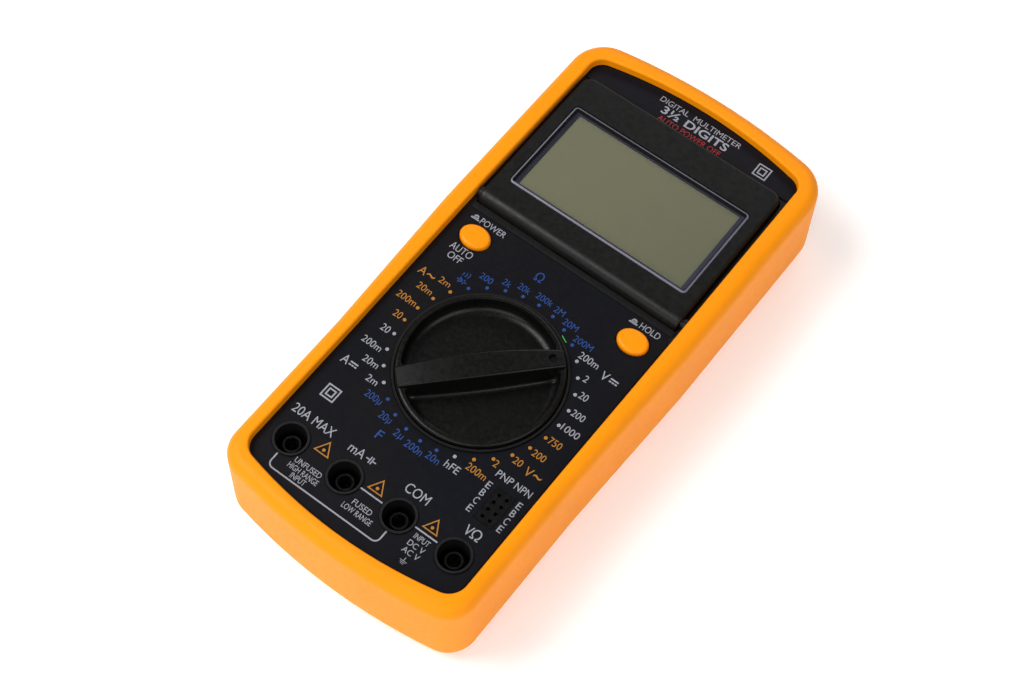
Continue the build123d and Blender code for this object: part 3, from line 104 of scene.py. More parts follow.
# ------------------------------------------------------------------ finishes
class NodeSheet:
    """A new node material, and short ways of adding to it."""

    def __init__(self, name: str) -> None:
        """Starts a material with its shader and object coordinates."""
        self.material = bpy.data.materials.new(name)
        self.material.use_nodes = True
        self.tree = self.material.node_tree
        self.shader = next(n for n in self.tree.nodes if n.type == "BSDF_PRINCIPLED")
        self.place = self.add("ShaderNodeTexCoord").outputs["Object"]
        self.normal: Optional[bpy.types.NodeSocket] = None

    def add(self, kind: str, settings: Optional[dict] = None, **values: object) -> bpy.types.Node:
        """Adds a node.

        Args:
            kind: the node's type name.
            settings: attributes of the node.
            values: values of its inputs, with _ for a space.

        Returns:
            The new node.
        """
        node = self.tree.nodes.new(kind)
        for key, value in (settings or {}).items():
            setattr(node, key, value)
        for key, value in values.items():
            node.inputs[key.replace("_", " ")].default_value = value
        return node

    def join(self, source: bpy.types.NodeSocket, target: bpy.types.NodeSocket) -> None:
        """Links an output to an input."""
        self.tree.links.new(source, target)

    def spot(self, stretch: Sequence[float] = (1, 1, 1), turn: float = 0.0) -> bpy.types.NodeSocket:
        """Object coordinates, stretched and turned about the face's normal.

        Args:
            stretch: scale along each axis.
            turn: turn in degrees.

        Returns:
            The mapped coordinates.
        """
        mapping = self.add("ShaderNodeMapping", Scale=tuple(stretch),
                           Rotation=(0.0, 0.0, math.radians(turn)))
        self.join(self.place, mapping.inputs["Vector"])
        return mapping.outputs["Vector"]

    def noise(self, size: float, detail: float = 2.0, roughness: float = 0.5,
              where: Optional[bpy.types.NodeSocket] = None) -> bpy.types.NodeSocket:
        """Soft noise.

        Args:
            size: size of its patches in millimetres.
            detail: number of finer layers.
            roughness: strength of the finer layers.
            where: coordinates, or None for the plain ones.

        Returns:
            A factor of 0 to 1.
        """
        node = self.add("ShaderNodeTexNoise", Scale=1.0 / (size * MM), Detail=detail,
                        Roughness=roughness)
        self.join(where or self.place, node.inputs["Vector"])
        return node.outputs["Fac"]

    def cells(self, size: float) -> bpy.types.NodeSocket:
        """Distances in a cell pattern, for a moulded grain; the size is in millimetres."""
        node = self.add("ShaderNodeTexVoronoi", Scale=1.0 / (size * MM))
        self.join(self.place, node.inputs["Vector"])
        return node.outputs["Distance"]

    def ranged(self, source: bpy.types.NodeSocket, low: float, high: float,
               start: float = 0.3, end: float = 0.7) -> bpy.types.NodeSocket:
        """Maps a factor to another range, with its ends clipped."""
        node = self.add("ShaderNodeMapRange")
        for name, value in (("From Min", start), ("From Max", end), ("To Min", low),
                            ("To Max", high)):
            node.inputs[name].default_value = value
        self.join(source, node.inputs["Value"])
        return node.outputs["Result"]

    def times(self, first: bpy.types.NodeSocket, second: bpy.types.NodeSocket
              ) -> bpy.types.NodeSocket:
        """The product of two factors."""
        node = self.add("ShaderNodeMath", {"operation": "MULTIPLY"})
        self.join(first, node.inputs[0])
        self.join(second, node.inputs[1])
        return node.outputs[0]

    def mix(self, factor: bpy.types.NodeSocket, first: object, second: object
            ) -> bpy.types.NodeSocket:
        """Mixes two colours.

        Args:
            factor: share of the second.
            first: a socket or a linear colour.
            second: a socket or a linear colour.

        Returns:
            The mixed colour.
        """
        node = self.add("ShaderNodeMix", {"data_type": "RGBA"})
        self.join(factor, node.inputs[0])
        for value, target in ((first, node.inputs[6]), (second, node.inputs[7])):
            if isinstance(value, bpy.types.NodeSocket):
                self.join(value, target)
            else:
                target.default_value = value
        return node.outputs[2]

    def bump(self, height: bpy.types.NodeSocket, depth: float, strength: float = 1.0) -> None:
        """Adds relief of a depth in millimetres to the surface."""
        node = self.add("ShaderNodeBump", Strength=strength, Distance=depth * MM)
        self.join(height, node.inputs["Height"])
        if self.normal is not None:
            self.join(self.normal, node.inputs["Normal"])
        self.normal = node.outputs["Normal"]

    def surface(self, colour: Optional[bpy.types.NodeSocket] = None,
                rough: Optional[bpy.types.NodeSocket] = None, **fixed: object
                ) -> bpy.types.Material:
        """Joins everything to the shader.

        Args:
            colour: base colour, if it varies.
            rough: roughness, if it varies.
            fixed: other shader inputs, with _ for a space.

        Returns:
            The finished material.
        """
        if colour is not None:
            self.join(colour, self.shader.inputs["Base Color"])
        if rough is not None:
            self.join(rough, self.shader.inputs["Roughness"])
        if self.normal is not None:
            self.join(self.normal, self.shader.inputs["Normal"])
        for key, value in fixed.items():
            self.shader.inputs[key.replace("_", " ")].default_value = value
        return self.material


class Finish:
    """A finish that makes its material once."""

    name: str
    made: ClassVar[dict[str, bpy.types.Material]] = {}

    def material(self) -> bpy.types.Material:
        """The finish's material, made at first use."""
        if self.name not in Finish.made:
            Finish.made[self.name] = self.make()
        return Finish.made[self.name]

    def make(self) -> bpy.types.Material:
        """Makes the material."""
        raise NotImplementedError


@dataclass(frozen=True)
class Moulding(Finish):
    """Moulded plastic or rubber with a fine spark grain, faint clouding and light scuffs."""

    name: str
    colour: Colour
    shade: float = 0.12
    rough: float = 0.45
    rough_spread: float = 0.08
    grain: float = 0.35
    depth: float = 0.012
    cloud: float = 14.0
    patch: float = 1.4
    scuff: float = 0.02
    scuff_colour: Colour = (120, 118, 116)
    scuff_turn: float = 31.0
    scuff_area: float = 22.0
    streak: float = 0.4
    specular: float = 0.3
    coat: float = 0.0
    coat_rough: float = 0.12

    def make(self) -> bpy.types.Material:
        """Clouded colour, two grains of relief, and rubbed streaks that are a little paler."""
        sheet = NodeSheet(self.name)
        base = linear(self.colour)
        dark = dimmed(base, self.shade)
        cloud = sheet.ranged(sheet.noise(self.cloud, 3.0), 0.0, 1.0)
        colour = sheet.mix(cloud, dark, base)
        fine = sheet.noise(self.grain * 2.2, 2.0, 0.6)
        speck = sheet.ranged(fine, 0.0, self.shade, 0.35, 0.75)
        colour = sheet.mix(speck, colour, dark)
        streaks = sheet.noise(self.streak, 2.0, 0.6,
                              sheet.spot((1.0, 0.1, 1.0), self.scuff_turn))
        patches = sheet.noise(self.patch, 3.0, 0.6)
        worn = sheet.noise(self.scuff_area, 2.0)
        rubbed = sheet.times(sheet.ranged(streaks, 0.0, 1.0, 0.6, 0.78),
                             sheet.ranged(worn, 0.0, self.scuff, 0.45, 0.65))
        colour = sheet.mix(rubbed, colour, linear(self.scuff_colour))
        rough = sheet.ranged(patches, self.rough - self.rough_spread,
                             self.rough + self.rough_spread)
        sheet.bump(sheet.cells(self.grain), self.depth, 0.6)
        sheet.bump(fine, self.depth * 0.7, 0.5)
        fixed: dict[str, object] = {"Specular_IOR_Level": self.specular}
        if self.coat:
            fixed.update(Coat_Weight=self.coat, Coat_Roughness=self.coat_rough)
        return sheet.surface(colour, rough, **fixed)


@dataclass(frozen=True)
class Film(Finish):
    """Printed polycarbonate film: a dark ground under a velvet-textured clear face."""

    name: str
    colour: Colour
    tint: Colour
    rough: float = 0.42
    texture: float = 0.28
    depth: float = 0.006
    drift: float = 45.0
    dust: float = 3.4
    dust_area: float = 6.0
    dust_colour: Colour = (92, 92, 96)
    wave: float = 9.0
    wave_depth: float = 0.03
    specular: float = 0.25

    def make(self) -> bpy.types.Material:
        """Ground with a slow drift of tint, a few dust specks and the film's fine texture."""
        sheet = NodeSheet(self.name)
        drift = sheet.ranged(sheet.noise(self.drift, 1.0), 0.0, 1.0, 0.35, 0.65)
        colour = sheet.mix(drift, linear(self.colour), linear(self.tint))
        dust = sheet.ranged(sheet.cells(self.dust), 1.0, 0.0, 0.02, 0.045)
        sparse = sheet.ranged(sheet.noise(self.dust_area, 1.0), 0.0, 0.35, 0.6, 0.75)
        colour = sheet.mix(sheet.times(dust, sparse), colour, linear(self.dust_colour))
        rough = sheet.ranged(sheet.noise(1.6, 3.0, 0.6), self.rough - 0.05, self.rough + 0.06)
        sheet.bump(sheet.cells(self.texture), self.depth, 0.5)
        sheet.bump(sheet.noise(self.wave, 1.0), self.wave_depth, 0.25)
        return sheet.surface(colour, rough, Specular_IOR_Level=self.specular)


@dataclass(frozen=True)
class PrintInk(Finish):
    """Screen-printed ink with the slight thinning that a coarse mesh leaves."""

    name: str
    colour: Colour
    thin: float = 0.14
    mesh: float = 0.4
    drift: float = 18.0
    rough: float = 0.5

    def make(self) -> bpy.types.Material:
        """Ink whose density varies over tenths of a millimetre."""
        sheet = NodeSheet(self.name)
        base = linear(self.colour)
        thin = dimmed(base, self.thin)
        patch = sheet.ranged(sheet.noise(self.mesh, 2.0, 0.6), 0.0, 1.0)
        colour = sheet.mix(patch, thin, base)
        drift = sheet.ranged(sheet.noise(self.drift, 1.0), 0.0, self.thin, 0.4, 0.6)
        colour = sheet.mix(drift, colour, thin)
        rough = sheet.ranged(sheet.noise(0.7, 1.0), self.rough - 0.06, self.rough + 0.06)
        sheet.bump(sheet.noise(0.25, 1.0), 0.003, 0.5)
        return sheet.surface(colour, rough)


@dataclass(frozen=True)
class Metal(Finish):
    """Turned, drawn or plated metal with fine tool lines and a little tarnish."""

    name: str
    colour: Colour
    tarnish: Colour
    rough: float = 0.28
    lines: float = 0.12
    line_depth: float = 0.004
    patch: float = 2.5
    stretch: tuple[float, float, float] = (0.08, 1.0, 1.0)

    def make(self) -> bpy.types.Material:
        """Tool lines along one way, and duller patches."""
        sheet = NodeSheet(self.name)
        patch = sheet.ranged(sheet.noise(self.patch, 3.0, 0.6), 0.0, 1.0, 0.45, 0.75)
        colour = sheet.mix(patch, linear(self.colour), linear(self.tarnish))
        lines = sheet.noise(self.lines, 2.0, 0.6, sheet.spot(self.stretch))
        rough = sheet.ranged(lines, self.rough - 0.08, self.rough + 0.12)
        sheet.bump(lines, self.line_depth, 0.5)
        return sheet.surface(colour, rough, Metallic=1.0)


@dataclass(frozen=True)
class ClearWindow(Finish):
    """Clear moulded window: seen through, with a glossy face that carries faint rub marks."""

    name: str
    tint: Colour = (248, 251, 249)
    haze_tint: Colour = (246, 249, 247)
    haze: float = 0.7
    rough: float = 0.08
    rub: float = 0.6
    rub_turn: float = 24.0
    refraction: float = 1.49

    def make(self) -> bpy.types.Material:
        """Clear sheet under a Fresnel gloss."""
        sheet = NodeSheet(self.name)
        clear = sheet.add("ShaderNodeBsdfTransparent")
        haze = sheet.ranged(sheet.noise(self.haze, 2.0, 0.6), 0.0, 1.0)
        colour = sheet.mix(haze, linear(self.tint), linear(self.haze_tint))
        sheet.join(colour, clear.inputs["Color"])
        gloss = sheet.add("ShaderNodeBsdfGlossy")
        rub = sheet.noise(self.rub, 2.0, 0.6, sheet.spot((1.0, 0.08, 1.0), self.rub_turn))
        sheet.join(sheet.ranged(rub, self.rough, self.rough + 0.1), gloss.inputs["Roughness"])
        edge = sheet.add("ShaderNodeFresnel", IOR=self.refraction)
        inside = sheet.add("ShaderNodeNewGeometry")
        outer = sheet.add("ShaderNodeMath", {"operation": "SUBTRACT", "use_clamp": True})
        sheet.join(edge.outputs[0], outer.inputs[0])
        sheet.join(inside.outputs["Backfacing"], outer.inputs[1])
        both = sheet.add("ShaderNodeMixShader")
        sheet.join(outer.outputs[0], both.inputs[0])
        sheet.join(clear.outputs[0], both.inputs[1])
        sheet.join(gloss.outputs[0], both.inputs[2])
        out = next(n for n in sheet.tree.nodes if n.type == "OUTPUT_MATERIAL")
        sheet.join(both.outputs[0], out.inputs["Surface"])
        sheet.tree.nodes.remove(sheet.shader)
        return sheet.material


@dataclass(frozen=True)
class LiquidCrystal(Finish):
    """Unlit reflective display: grey-green, with painted shade that makes it a little darker
    towards one corner.
    """

    name: str
    light: Colour
    dark: Colour
    span: float = 70.0
    shade_slope_turn: float = 28.0
    mottle: float = 0.3

    def make(self) -> bpy.types.Material:
        """Painted shade, a slow fall of tone across the display towards one corner, with the
        polariser's fine mottling.
        """
        sheet = NodeSheet(self.name)
        parts = sheet.add("ShaderNodeSeparateXYZ")
        sheet.join(sheet.spot(turn=self.shade_slope_turn), parts.inputs[0])
        # painted shade: the tone falls from the light colour to the dark one across the display
        painted_shade_slope = sheet.ranged(parts.outputs[0], 0.0, 1.0, -self.span / 2 * MM, self.span / 2 * MM)
        colour = sheet.mix(painted_shade_slope, linear(self.light), linear(self.dark))
        mottle = sheet.ranged(sheet.noise(self.mottle, 2.0, 0.7), 0.0, 0.12)
        colour = sheet.mix(mottle, colour, linear(self.dark))
        rough = sheet.ranged(sheet.noise(0.8, 2.0), 0.33, 0.37)
        return sheet.surface(colour, rough, Specular_IOR_Level=0.3)


@dataclass(frozen=True)
class BoardMask(Finish):
    """Solder mask with paler tracks that show through it."""

    name: str
    colour: Colour = (24, 84, 48)
    track: Colour = (44, 120, 66)
    run_scale: float = 180.0
    track_depth: float = 0.03

    def make(self) -> bpy.types.Material:
        """A brick pattern drawn out into runs of track, under gloss mask."""
        sheet = NodeSheet(self.name)
        runs = sheet.add("ShaderNodeTexBrick", {"offset": 0.37}, Scale=self.run_scale,
                         Mortar_Size=0.03)
        sheet.join(sheet.spot((1.0, 3.0, 1.0)), runs.inputs["Vector"])
        colour = sheet.mix(runs.outputs["Fac"], linear(self.colour), linear(self.track))
        cloud = sheet.ranged(sheet.noise(4.0, 2.0), 0.0, 0.3)
        colour = sheet.mix(cloud, colour, linear(self.colour))
        rough = sheet.ranged(sheet.noise(2.0, 2.0), 0.25, 0.38)
        sheet.bump(runs.outputs["Fac"], self.track_depth, 0.5)
        return sheet.surface(colour, rough)


@dataclass(frozen=True)
class Floor(Finish):
    """Plain pale studio floor."""

    name: str = "studio_floor"
    colour: Colour = (252, 252, 252)
    cloud_colour: Colour = (250, 250, 250)
    cloud: float = 400.0
    glow: float = 0.22

    def make(self) -> bpy.types.Material:
        """Matt paper white."""
        sheet = NodeSheet(self.name)
        cloud = sheet.ranged(sheet.noise(self.cloud, 1.0), 0.0, 1.0)
        colour = sheet.mix(cloud, linear(self.colour), linear(self.cloud_colour))
        return sheet.surface(colour, None, Roughness=0.9, Specular_IOR_Level=0.1,
                             Emission_Color=(1.0, 1.0, 1.0, 1.0), Emission_Strength=self.glow)


HOLSTER_RUBBER = Moulding("holster_orange_rubber", (255, 150, 3), shade=0.05, rough=0.5,
                          grain=0.3, depth=0.006, scuff=0.03, scuff_colour=(255, 190, 110),
                          specular=0.16)
BUTTON_RUBBER = Moulding("button_orange", (255, 148, 2), shade=0.06, rough=0.36, grain=0.3,
                         depth=0.004, scuff=0.02, scuff_colour=(255, 190, 110), coat=0.02,
                         specular=0.2)
CASE_PLASTIC = Moulding("case_black", (19, 18, 18), rough=0.44, grain=0.4, depth=0.012,
                        specular=0.25)
KNOB_PLASTIC = Moulding("knob_black", (10, 9, 8), rough=0.33, specular=0.24, grain=0.3,
                        depth=0.004, scuff=0.015)
DISPLAY_PLASTIC = Moulding("display_black", (17, 16, 15), rough=0.36, grain=0.35, depth=0.006,
                           specular=0.25, scuff=0.01)
WELL_PLASTIC = Moulding("socket_black", (12, 11, 11), rough=0.3, specular=0.25, grain=0.3,
                        depth=0.004)
INNER_PLASTIC = Moulding("inner_grey_plastic", (176, 172, 160), rough=0.5, grain=0.6)
LABEL_FILM = Film("face_label_film", (17, 15, 18), (12, 14, 21), specular=0.12)
TOP_FILM = Film("top_label_film", (19, 17, 23), (15, 15, 22), specular=0.14)
# painted shade: the display runs from the first tone to the darker second one across its face
LCD = LiquidCrystal("lcd_reflector", (127, 120, 99), (111, 107, 88))
BORDER = Film("display_border_blue", (66, 63, 84), (56, 53, 72), rough=0.35)
WINDOW = ClearWindow("display_window")
# painted highlight: an opaque pale grey for the window's bevel, standing in for the bright edge of
# the clear plastic
WINDOW_EDGE_HIGHLIGHT = Moulding("window_edge_painted_highlight", (112, 110, 122), rough=0.3, grain=0.2, depth=0.002)
BRASS = Metal("plated_socket", (150, 146, 134), (104, 96, 80))
STEEL = Metal("plated_steel", (196, 198, 200), (140, 138, 134), rough=0.25)
GOLD = Metal("contact_gold", (230, 190, 96), (196, 150, 76), rough=0.22)
SHUNT = Metal("shunt_wire", (176, 150, 128), (120, 98, 82), rough=0.35)
BOARD = BoardMask("board_mask")
COMPONENT = Moulding("component_black", (26, 26, 28), rough=0.4, grain=0.25, depth=0.006)
COMPONENT_BLUE = Moulding("component_blue", (28, 74, 150), rough=0.35, grain=0.3)
RESISTOR = Moulding("resistor_tan", (206, 176, 128), rough=0.4, grain=0.3)
FUSE = Moulding("fuse_tube", (200, 206, 204), rough=0.15, grain=0.5, depth=0.001, coat=0.4)
BATTERY = Moulding("battery_jacket", (52, 66, 92), rough=0.3, grain=0.8, depth=0.004, coat=0.3)
LEAD_RED = Moulding("lead_red", (176, 24, 22), rough=0.4, grain=0.2)
LEAD_BLACK = Moulding("lead_black", (22, 22, 22), rough=0.4, grain=0.2)
ZEBRA = Moulding("zebra_rubber", (206, 150, 160), rough=0.6, grain=0.2)
FLEX = Moulding("flex_amber", (176, 104, 30), rough=0.3, grain=0.5, depth=0.003, coat=0.2)
INK_WHITE = PrintInk("ink_white", (152, 154, 163))
INK_BLUE = PrintInk("ink_blue", (12, 61, 132))
INK_ORANGE = PrintInk("ink_orange", (174, 113, 20))
INK_RED = PrintInk("ink_red", (160, 22, 30))
INK_GREEN = PrintInk("ink_green", (60, 200, 80))

NODE_FINISH: dict[str, Finish] = {
    "holster": HOLSTER_RUBBER, "front_case": CASE_PLASTIC, "rear_case": CASE_PLASTIC,
    "battery_cover": CASE_PLASTIC, "tilt_stand": CASE_PLASTIC, "case_screws": STEEL,
    "battery_cover_screw": STEEL, "main_label": LABEL_FILM, "top_label": TOP_FILM,
    "display_frame": DISPLAY_PLASTIC, "display_back": DISPLAY_PLASTIC,
    "display_screws": STEEL, "lcd_border": BORDER, "lcd_glass": LCD, "zebra_strips": ZEBRA,
    "lcd_board": BOARD, "hinge_pins": STEEL, "display_flex": FLEX, "board_flex": FLEX,
    "selector_knob": KNOB_PLASTIC, "pointer_inlay": WELL_PLASTIC,
    "selector_rotor": INNER_PLASTIC, "rotor_screw": STEEL, "rotor_contacts": GOLD,
    "detent_balls": STEEL, "detent_springs": STEEL, "socket_sleeves": WELL_PLASTIC,
    "transistor_socket": WELL_PLASTIC, "transistor_contacts": GOLD, "main_board": BOARD,
    "board_screws": STEEL, "switch_tracks": GOLD, "fuse": FUSE, "fuse_clips": STEEL,
    "current_shunt": SHUNT, "buzzer": COMPONENT, "main_chip": COMPONENT,
    "trimmers": COMPONENT_BLUE, "capacitors": COMPONENT_BLUE, "resistors": RESISTOR,
    "battery": BATTERY, "battery_snap": COMPONENT, "battery_lead_red": LEAD_RED,
    "battery_lead_black": LEAD_BLACK, "socket_20a": BRASS, "socket_ma": BRASS,
    "socket_com": BRASS, "socket_volt_ohm": BRASS, "power_button": BUTTON_RUBBER,
    "hold_button": BUTTON_RUBBER, "power_plunger": INNER_PLASTIC,
    "hold_plunger": INNER_PLASTIC, "power_spring": STEEL, "hold_spring": STEEL,
    "power_switch": COMPONENT, "hold_switch": COMPONENT, "lcd_lens": WINDOW,
}


# ------------------------------------------------------------------ mesh helpers
PIECE_MERGE = 1e-7           # metres; points closer than this become one


def link(holder: bpy.types.Object) -> bpy.types.Object:
    """Puts an object into the scene."""
    bpy.context.scene.collection.objects.link(holder)
    return holder


def add_piece(name: str, bm: bmesh.types.BMesh, body: str,
              finishes: Sequence[Finish]) -> bpy.types.Object:
    """Makes a scene object from a finished mesh and ties it to a body.

    Args:
        name: the piece's name.
        bm: its mesh in metres, which is freed.
        body: the body that it moves with.
        finishes: finishes by material index.

    Returns:
        The new object.
    """
    bmesh.ops.remove_doubles(bm, verts=bm.verts, dist=PIECE_MERGE)
    bmesh.ops.recalc_face_normals(bm, faces=bm.faces)
    mesh = bpy.data.meshes.new(name)
    bm.to_mesh(mesh)
    bm.free()
    for finish in finishes:
        mesh.materials.append(finish.material())
    piece = link(bpy.data.objects.new(name, mesh))
    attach(piece, body)
    LOG.info("%s: %d faces on %s", name, len(mesh.polygons), body)
    return piece


def dress(nodes: dict[str, bpy.types.Object]) -> None:
    """Gives every carried-over node its finish."""
    for name, node in nodes.items():
        finish = NODE_FINISH[name]
        if not node.material_slots:
            node.data.materials.append(finish.material())
        for holder in node.material_slots:
            holder.material = finish.material()
        LOG.info("%s: %s", name, finish.name)


# ------------------------------------------------------------------ print
class Ink(Enum):
    """Colours of the printed marks."""

    WHITE = "white"
    BLUE = "blue"
    ORANGE = "orange"
    RED = "red"
    GREEN = "green"


INK_FINISH = {Ink.WHITE: INK_WHITE, Ink.BLUE: INK_BLUE, Ink.ORANGE: INK_ORANGE,
              Ink.RED: INK_RED, Ink.GREEN: INK_GREEN}


@dataclass(frozen=True)
class Stamp:
    """One printed word or sign, measured from the dial's middle.

    A boxed stamp fills its whole height; any other stands on its base line at its capitals'
    height.
    """

    text: str
    left: float
    right: float
    base: float
    height: float
    ink: Ink = Ink.WHITE
    boxed: bool = False
    weight: float = 0.0


@dataclass(frozen=True)
class Stroke:
    """One straight printed line, measured from the dial's middle."""

    x: float
    y: float
    heading: float
    length: float
    line: float
    ink: Ink = Ink.WHITE


CAPITAL = 0.686              # capitals' height in type of unit size
FLAT = 1e-9                  # a drawing thinner than this has no depth yet
PRINT_MERGE = 2e-6           # metres
TYPE_DEPTH = 0.02
CURVE_STEPS = 4
TURN_STEPS = 6
BLUE_DOTS = frozenset((*range(1, 9), *range(20, 25)))
ORANGE_DOTS = frozenset((0, *range(14, 19), *range(29, 32)))
W, B, O, R, G = Ink.WHITE, Ink.BLUE, Ink.ORANGE, Ink.RED, Ink.GREEN
SWITCH_MARKS = (
    Stamp("POWER", -30.6, -21.7, 38.9, 2.1), Stamp("HOLD", 26.8, 33.5, 39.0, 2.1),
    Stamp("AUTO", -32.6, -25.0, 27.1, 2.4), Stamp("OFF", -31.3, -26.4, 24.1, 2.3),
)
DIRECT_MARKS = (
    Stamp("20", -31.3, -28.5, -6.6, 2.3), Stamp("200m", -33.2, -26.6, -12.7, 2.2),
    Stamp("20m", -29.0, -23.8, -17.5, 2.2), Stamp("2m", -24.3, -20.6, -21.8, 2.2),
    Stamp("A", -33.7, -31.4, -21.5, 2.9), Stamp("200m", 18.7, 25.3, 20.6, 2.3),
    Stamp("2", 24.2, 25.5, 15.3, 2.2), Stamp("20", 26.3, 29.0, 10.3, 2.3),
    Stamp("200", 27.9, 32.1, 4.6, 2.2), Stamp("1000", 28.3, 34.1, -0.7, 2.2),
    Stamp("V", 27.3, 29.6, 19.0, 2.8), Stamp("hFE", 9.6, 14.3, -29.5, 2.4),
    Stamp("⎓", -31.0, -28.3, -20.9, 1.4, W, True), Stamp("⎓", 30.2, 32.9, 19.7, 1.4, W, True),
)
OHM_MARKS = (
    Stamp("200", -19.4, -15.2, 24.2, 2.1, B), Stamp("2k", -13.0, -10.3, 26.6, 2.1, B),
    Stamp("20k", -8.6, -4.5, 28.2, 2.1, B), Stamp("200k", -2.6, 3.0, 28.9, 2.1, B),
    Stamp("2M", 4.2, 7.6, 28.4, 2.1, B), Stamp("20M", 8.6, 13.5, 26.7, 2.1, B),
    Stamp("200M", 14.3, 20.6, 24.1, 2.1, B), Stamp("Ω", -6.7, -4.1, 33.4, 3.0, B),
)
CAPACITANCE_MARKS = (
    Stamp("200µ", -21.5, -15.9, -25.8, 2.3, B), Stamp("20µ", -14.2, -10.1, -28.7, 2.3, B),
    Stamp("2µ", -7.5, -4.4, -30.5, 2.3, B), Stamp("200n", -3.0, 2.8, -31.3, 2.3, B),
    Stamp("20n", 3.8, 8.2, -30.5, 2.3, B), Stamp("F", -10.9, -9.1, -34.3, 2.9, B),
)
ALTERNATING_MARKS = (
    Stamp("A", -34.6, -32.2, 14.8, 2.7, O), Stamp("~", -31.8, -29.1, 15.5, 1.0, O, True),
    Stamp("2m", -27.9, -24.1, 15.9, 2.1, O), Stamp("20m", -31.8, -26.7, 10.6, 2.2, O),
    Stamp("200m", -34.7, -28.0, 4.9, 2.2, O), Stamp("20", -31.4, -28.7, -0.8, 2.3, O),
    Stamp("750", 28.0, 32.1, -6.3, 2.3, O), Stamp("200", 26.7, 30.9, -12.0, 2.2, O),
    Stamp("20", 23.9, 26.7, -17.0, 2.2, O), Stamp("2", 20.2, 21.5, -21.2, 2.3, O),
    Stamp("200m", 14.8, 21.3, -26.4, 2.3, O), Stamp("V", 28.3, 30.6, -18.0, 2.8, O),
    Stamp("~", 31.0, 33.6, -17.0, 1.0, O, True),
)
SOCKET_MARKS = (
    Stamp("PNP", 22.7, 28.0, -23.1, 2.3), Stamp("NPN", 29.0, 34.3, -23.1, 2.3),
    Stamp("20A", -34.5, -28.5, -41.8, 2.9), Stamp("MAX", -27.3, -20.0, -41.8, 2.9),
    Stamp("mA", -14.3, -9.2, -41.8, 2.9), Stamp("COM", 5.6, 13.4, -41.9, 3.0),
    Stamp("V", 26.0, 28.2, -42.0, 3.1), Stamp("Ω", 28.3, 31.1, -42.0, 3.1),
    Stamp("UNFUSED", -23.6, -14.6, -53.5, 1.75), Stamp("HIGH RANGE", -24.2, -14.0, -55.8, 1.75),
    Stamp("INPUT", -21.6, -16.6, -57.9, 1.75), Stamp("FUSED", -3.1, 3.3, -53.7, 1.75),
    Stamp("LOW RANGE", -4.9, 5.1, -56.1, 1.75), Stamp("INPUT", 16.4, 21.4, -51.3, 1.7),
    Stamp("DC V", 16.2, 21.6, -53.8, 1.7), Stamp("AC V", 16.2, 21.6, -56.2, 1.7),
    Stamp("⏚", 17.5, 19.9, -59.2, 2.1, W, True, -0.012),
)
TOP_MARKS = (
    Stamp("DIGITAL", -14.2, -4.0, 107.5, 1.9), Stamp("MULTIMETER", -2.0, 15.0, 107.5, 1.9),
    Stamp("3½ DIGITS", -11.6, 12.2, 104.1, 2.7, W, False, 0.02),
    Stamp("AUTO POWER OFF", -11.0, 11.5, 101.3, 1.9, R),
)
TIE_STROKES = (Stroke(-4.0, -48.5, 0.0, 7.6, 0.45), Stroke(15.0, -48.5, 0.0, 7.6, 0.45))
DIODE_STROKES = (Stroke(-24.2, 20.2, 0.0, 3.4, 0.3, B), Stroke(-21.8, 19.3, 90.0, 1.8, 0.3, B))
CAPACITOR_STROKES = (
    Stroke(-8.6, -40.4, 0.0, 1.3, 0.35), Stroke(-6.5, -40.4, 0.0, 1.3, 0.35),
    Stroke(-7.25, -41.5, 90.0, 2.2, 0.35), Stroke(-6.55, -41.5, 90.0, 2.2, 0.35),
)
DIAL_TICK = Stroke(11.2, 23.5, -27.0, 2.4, 0.25, G)


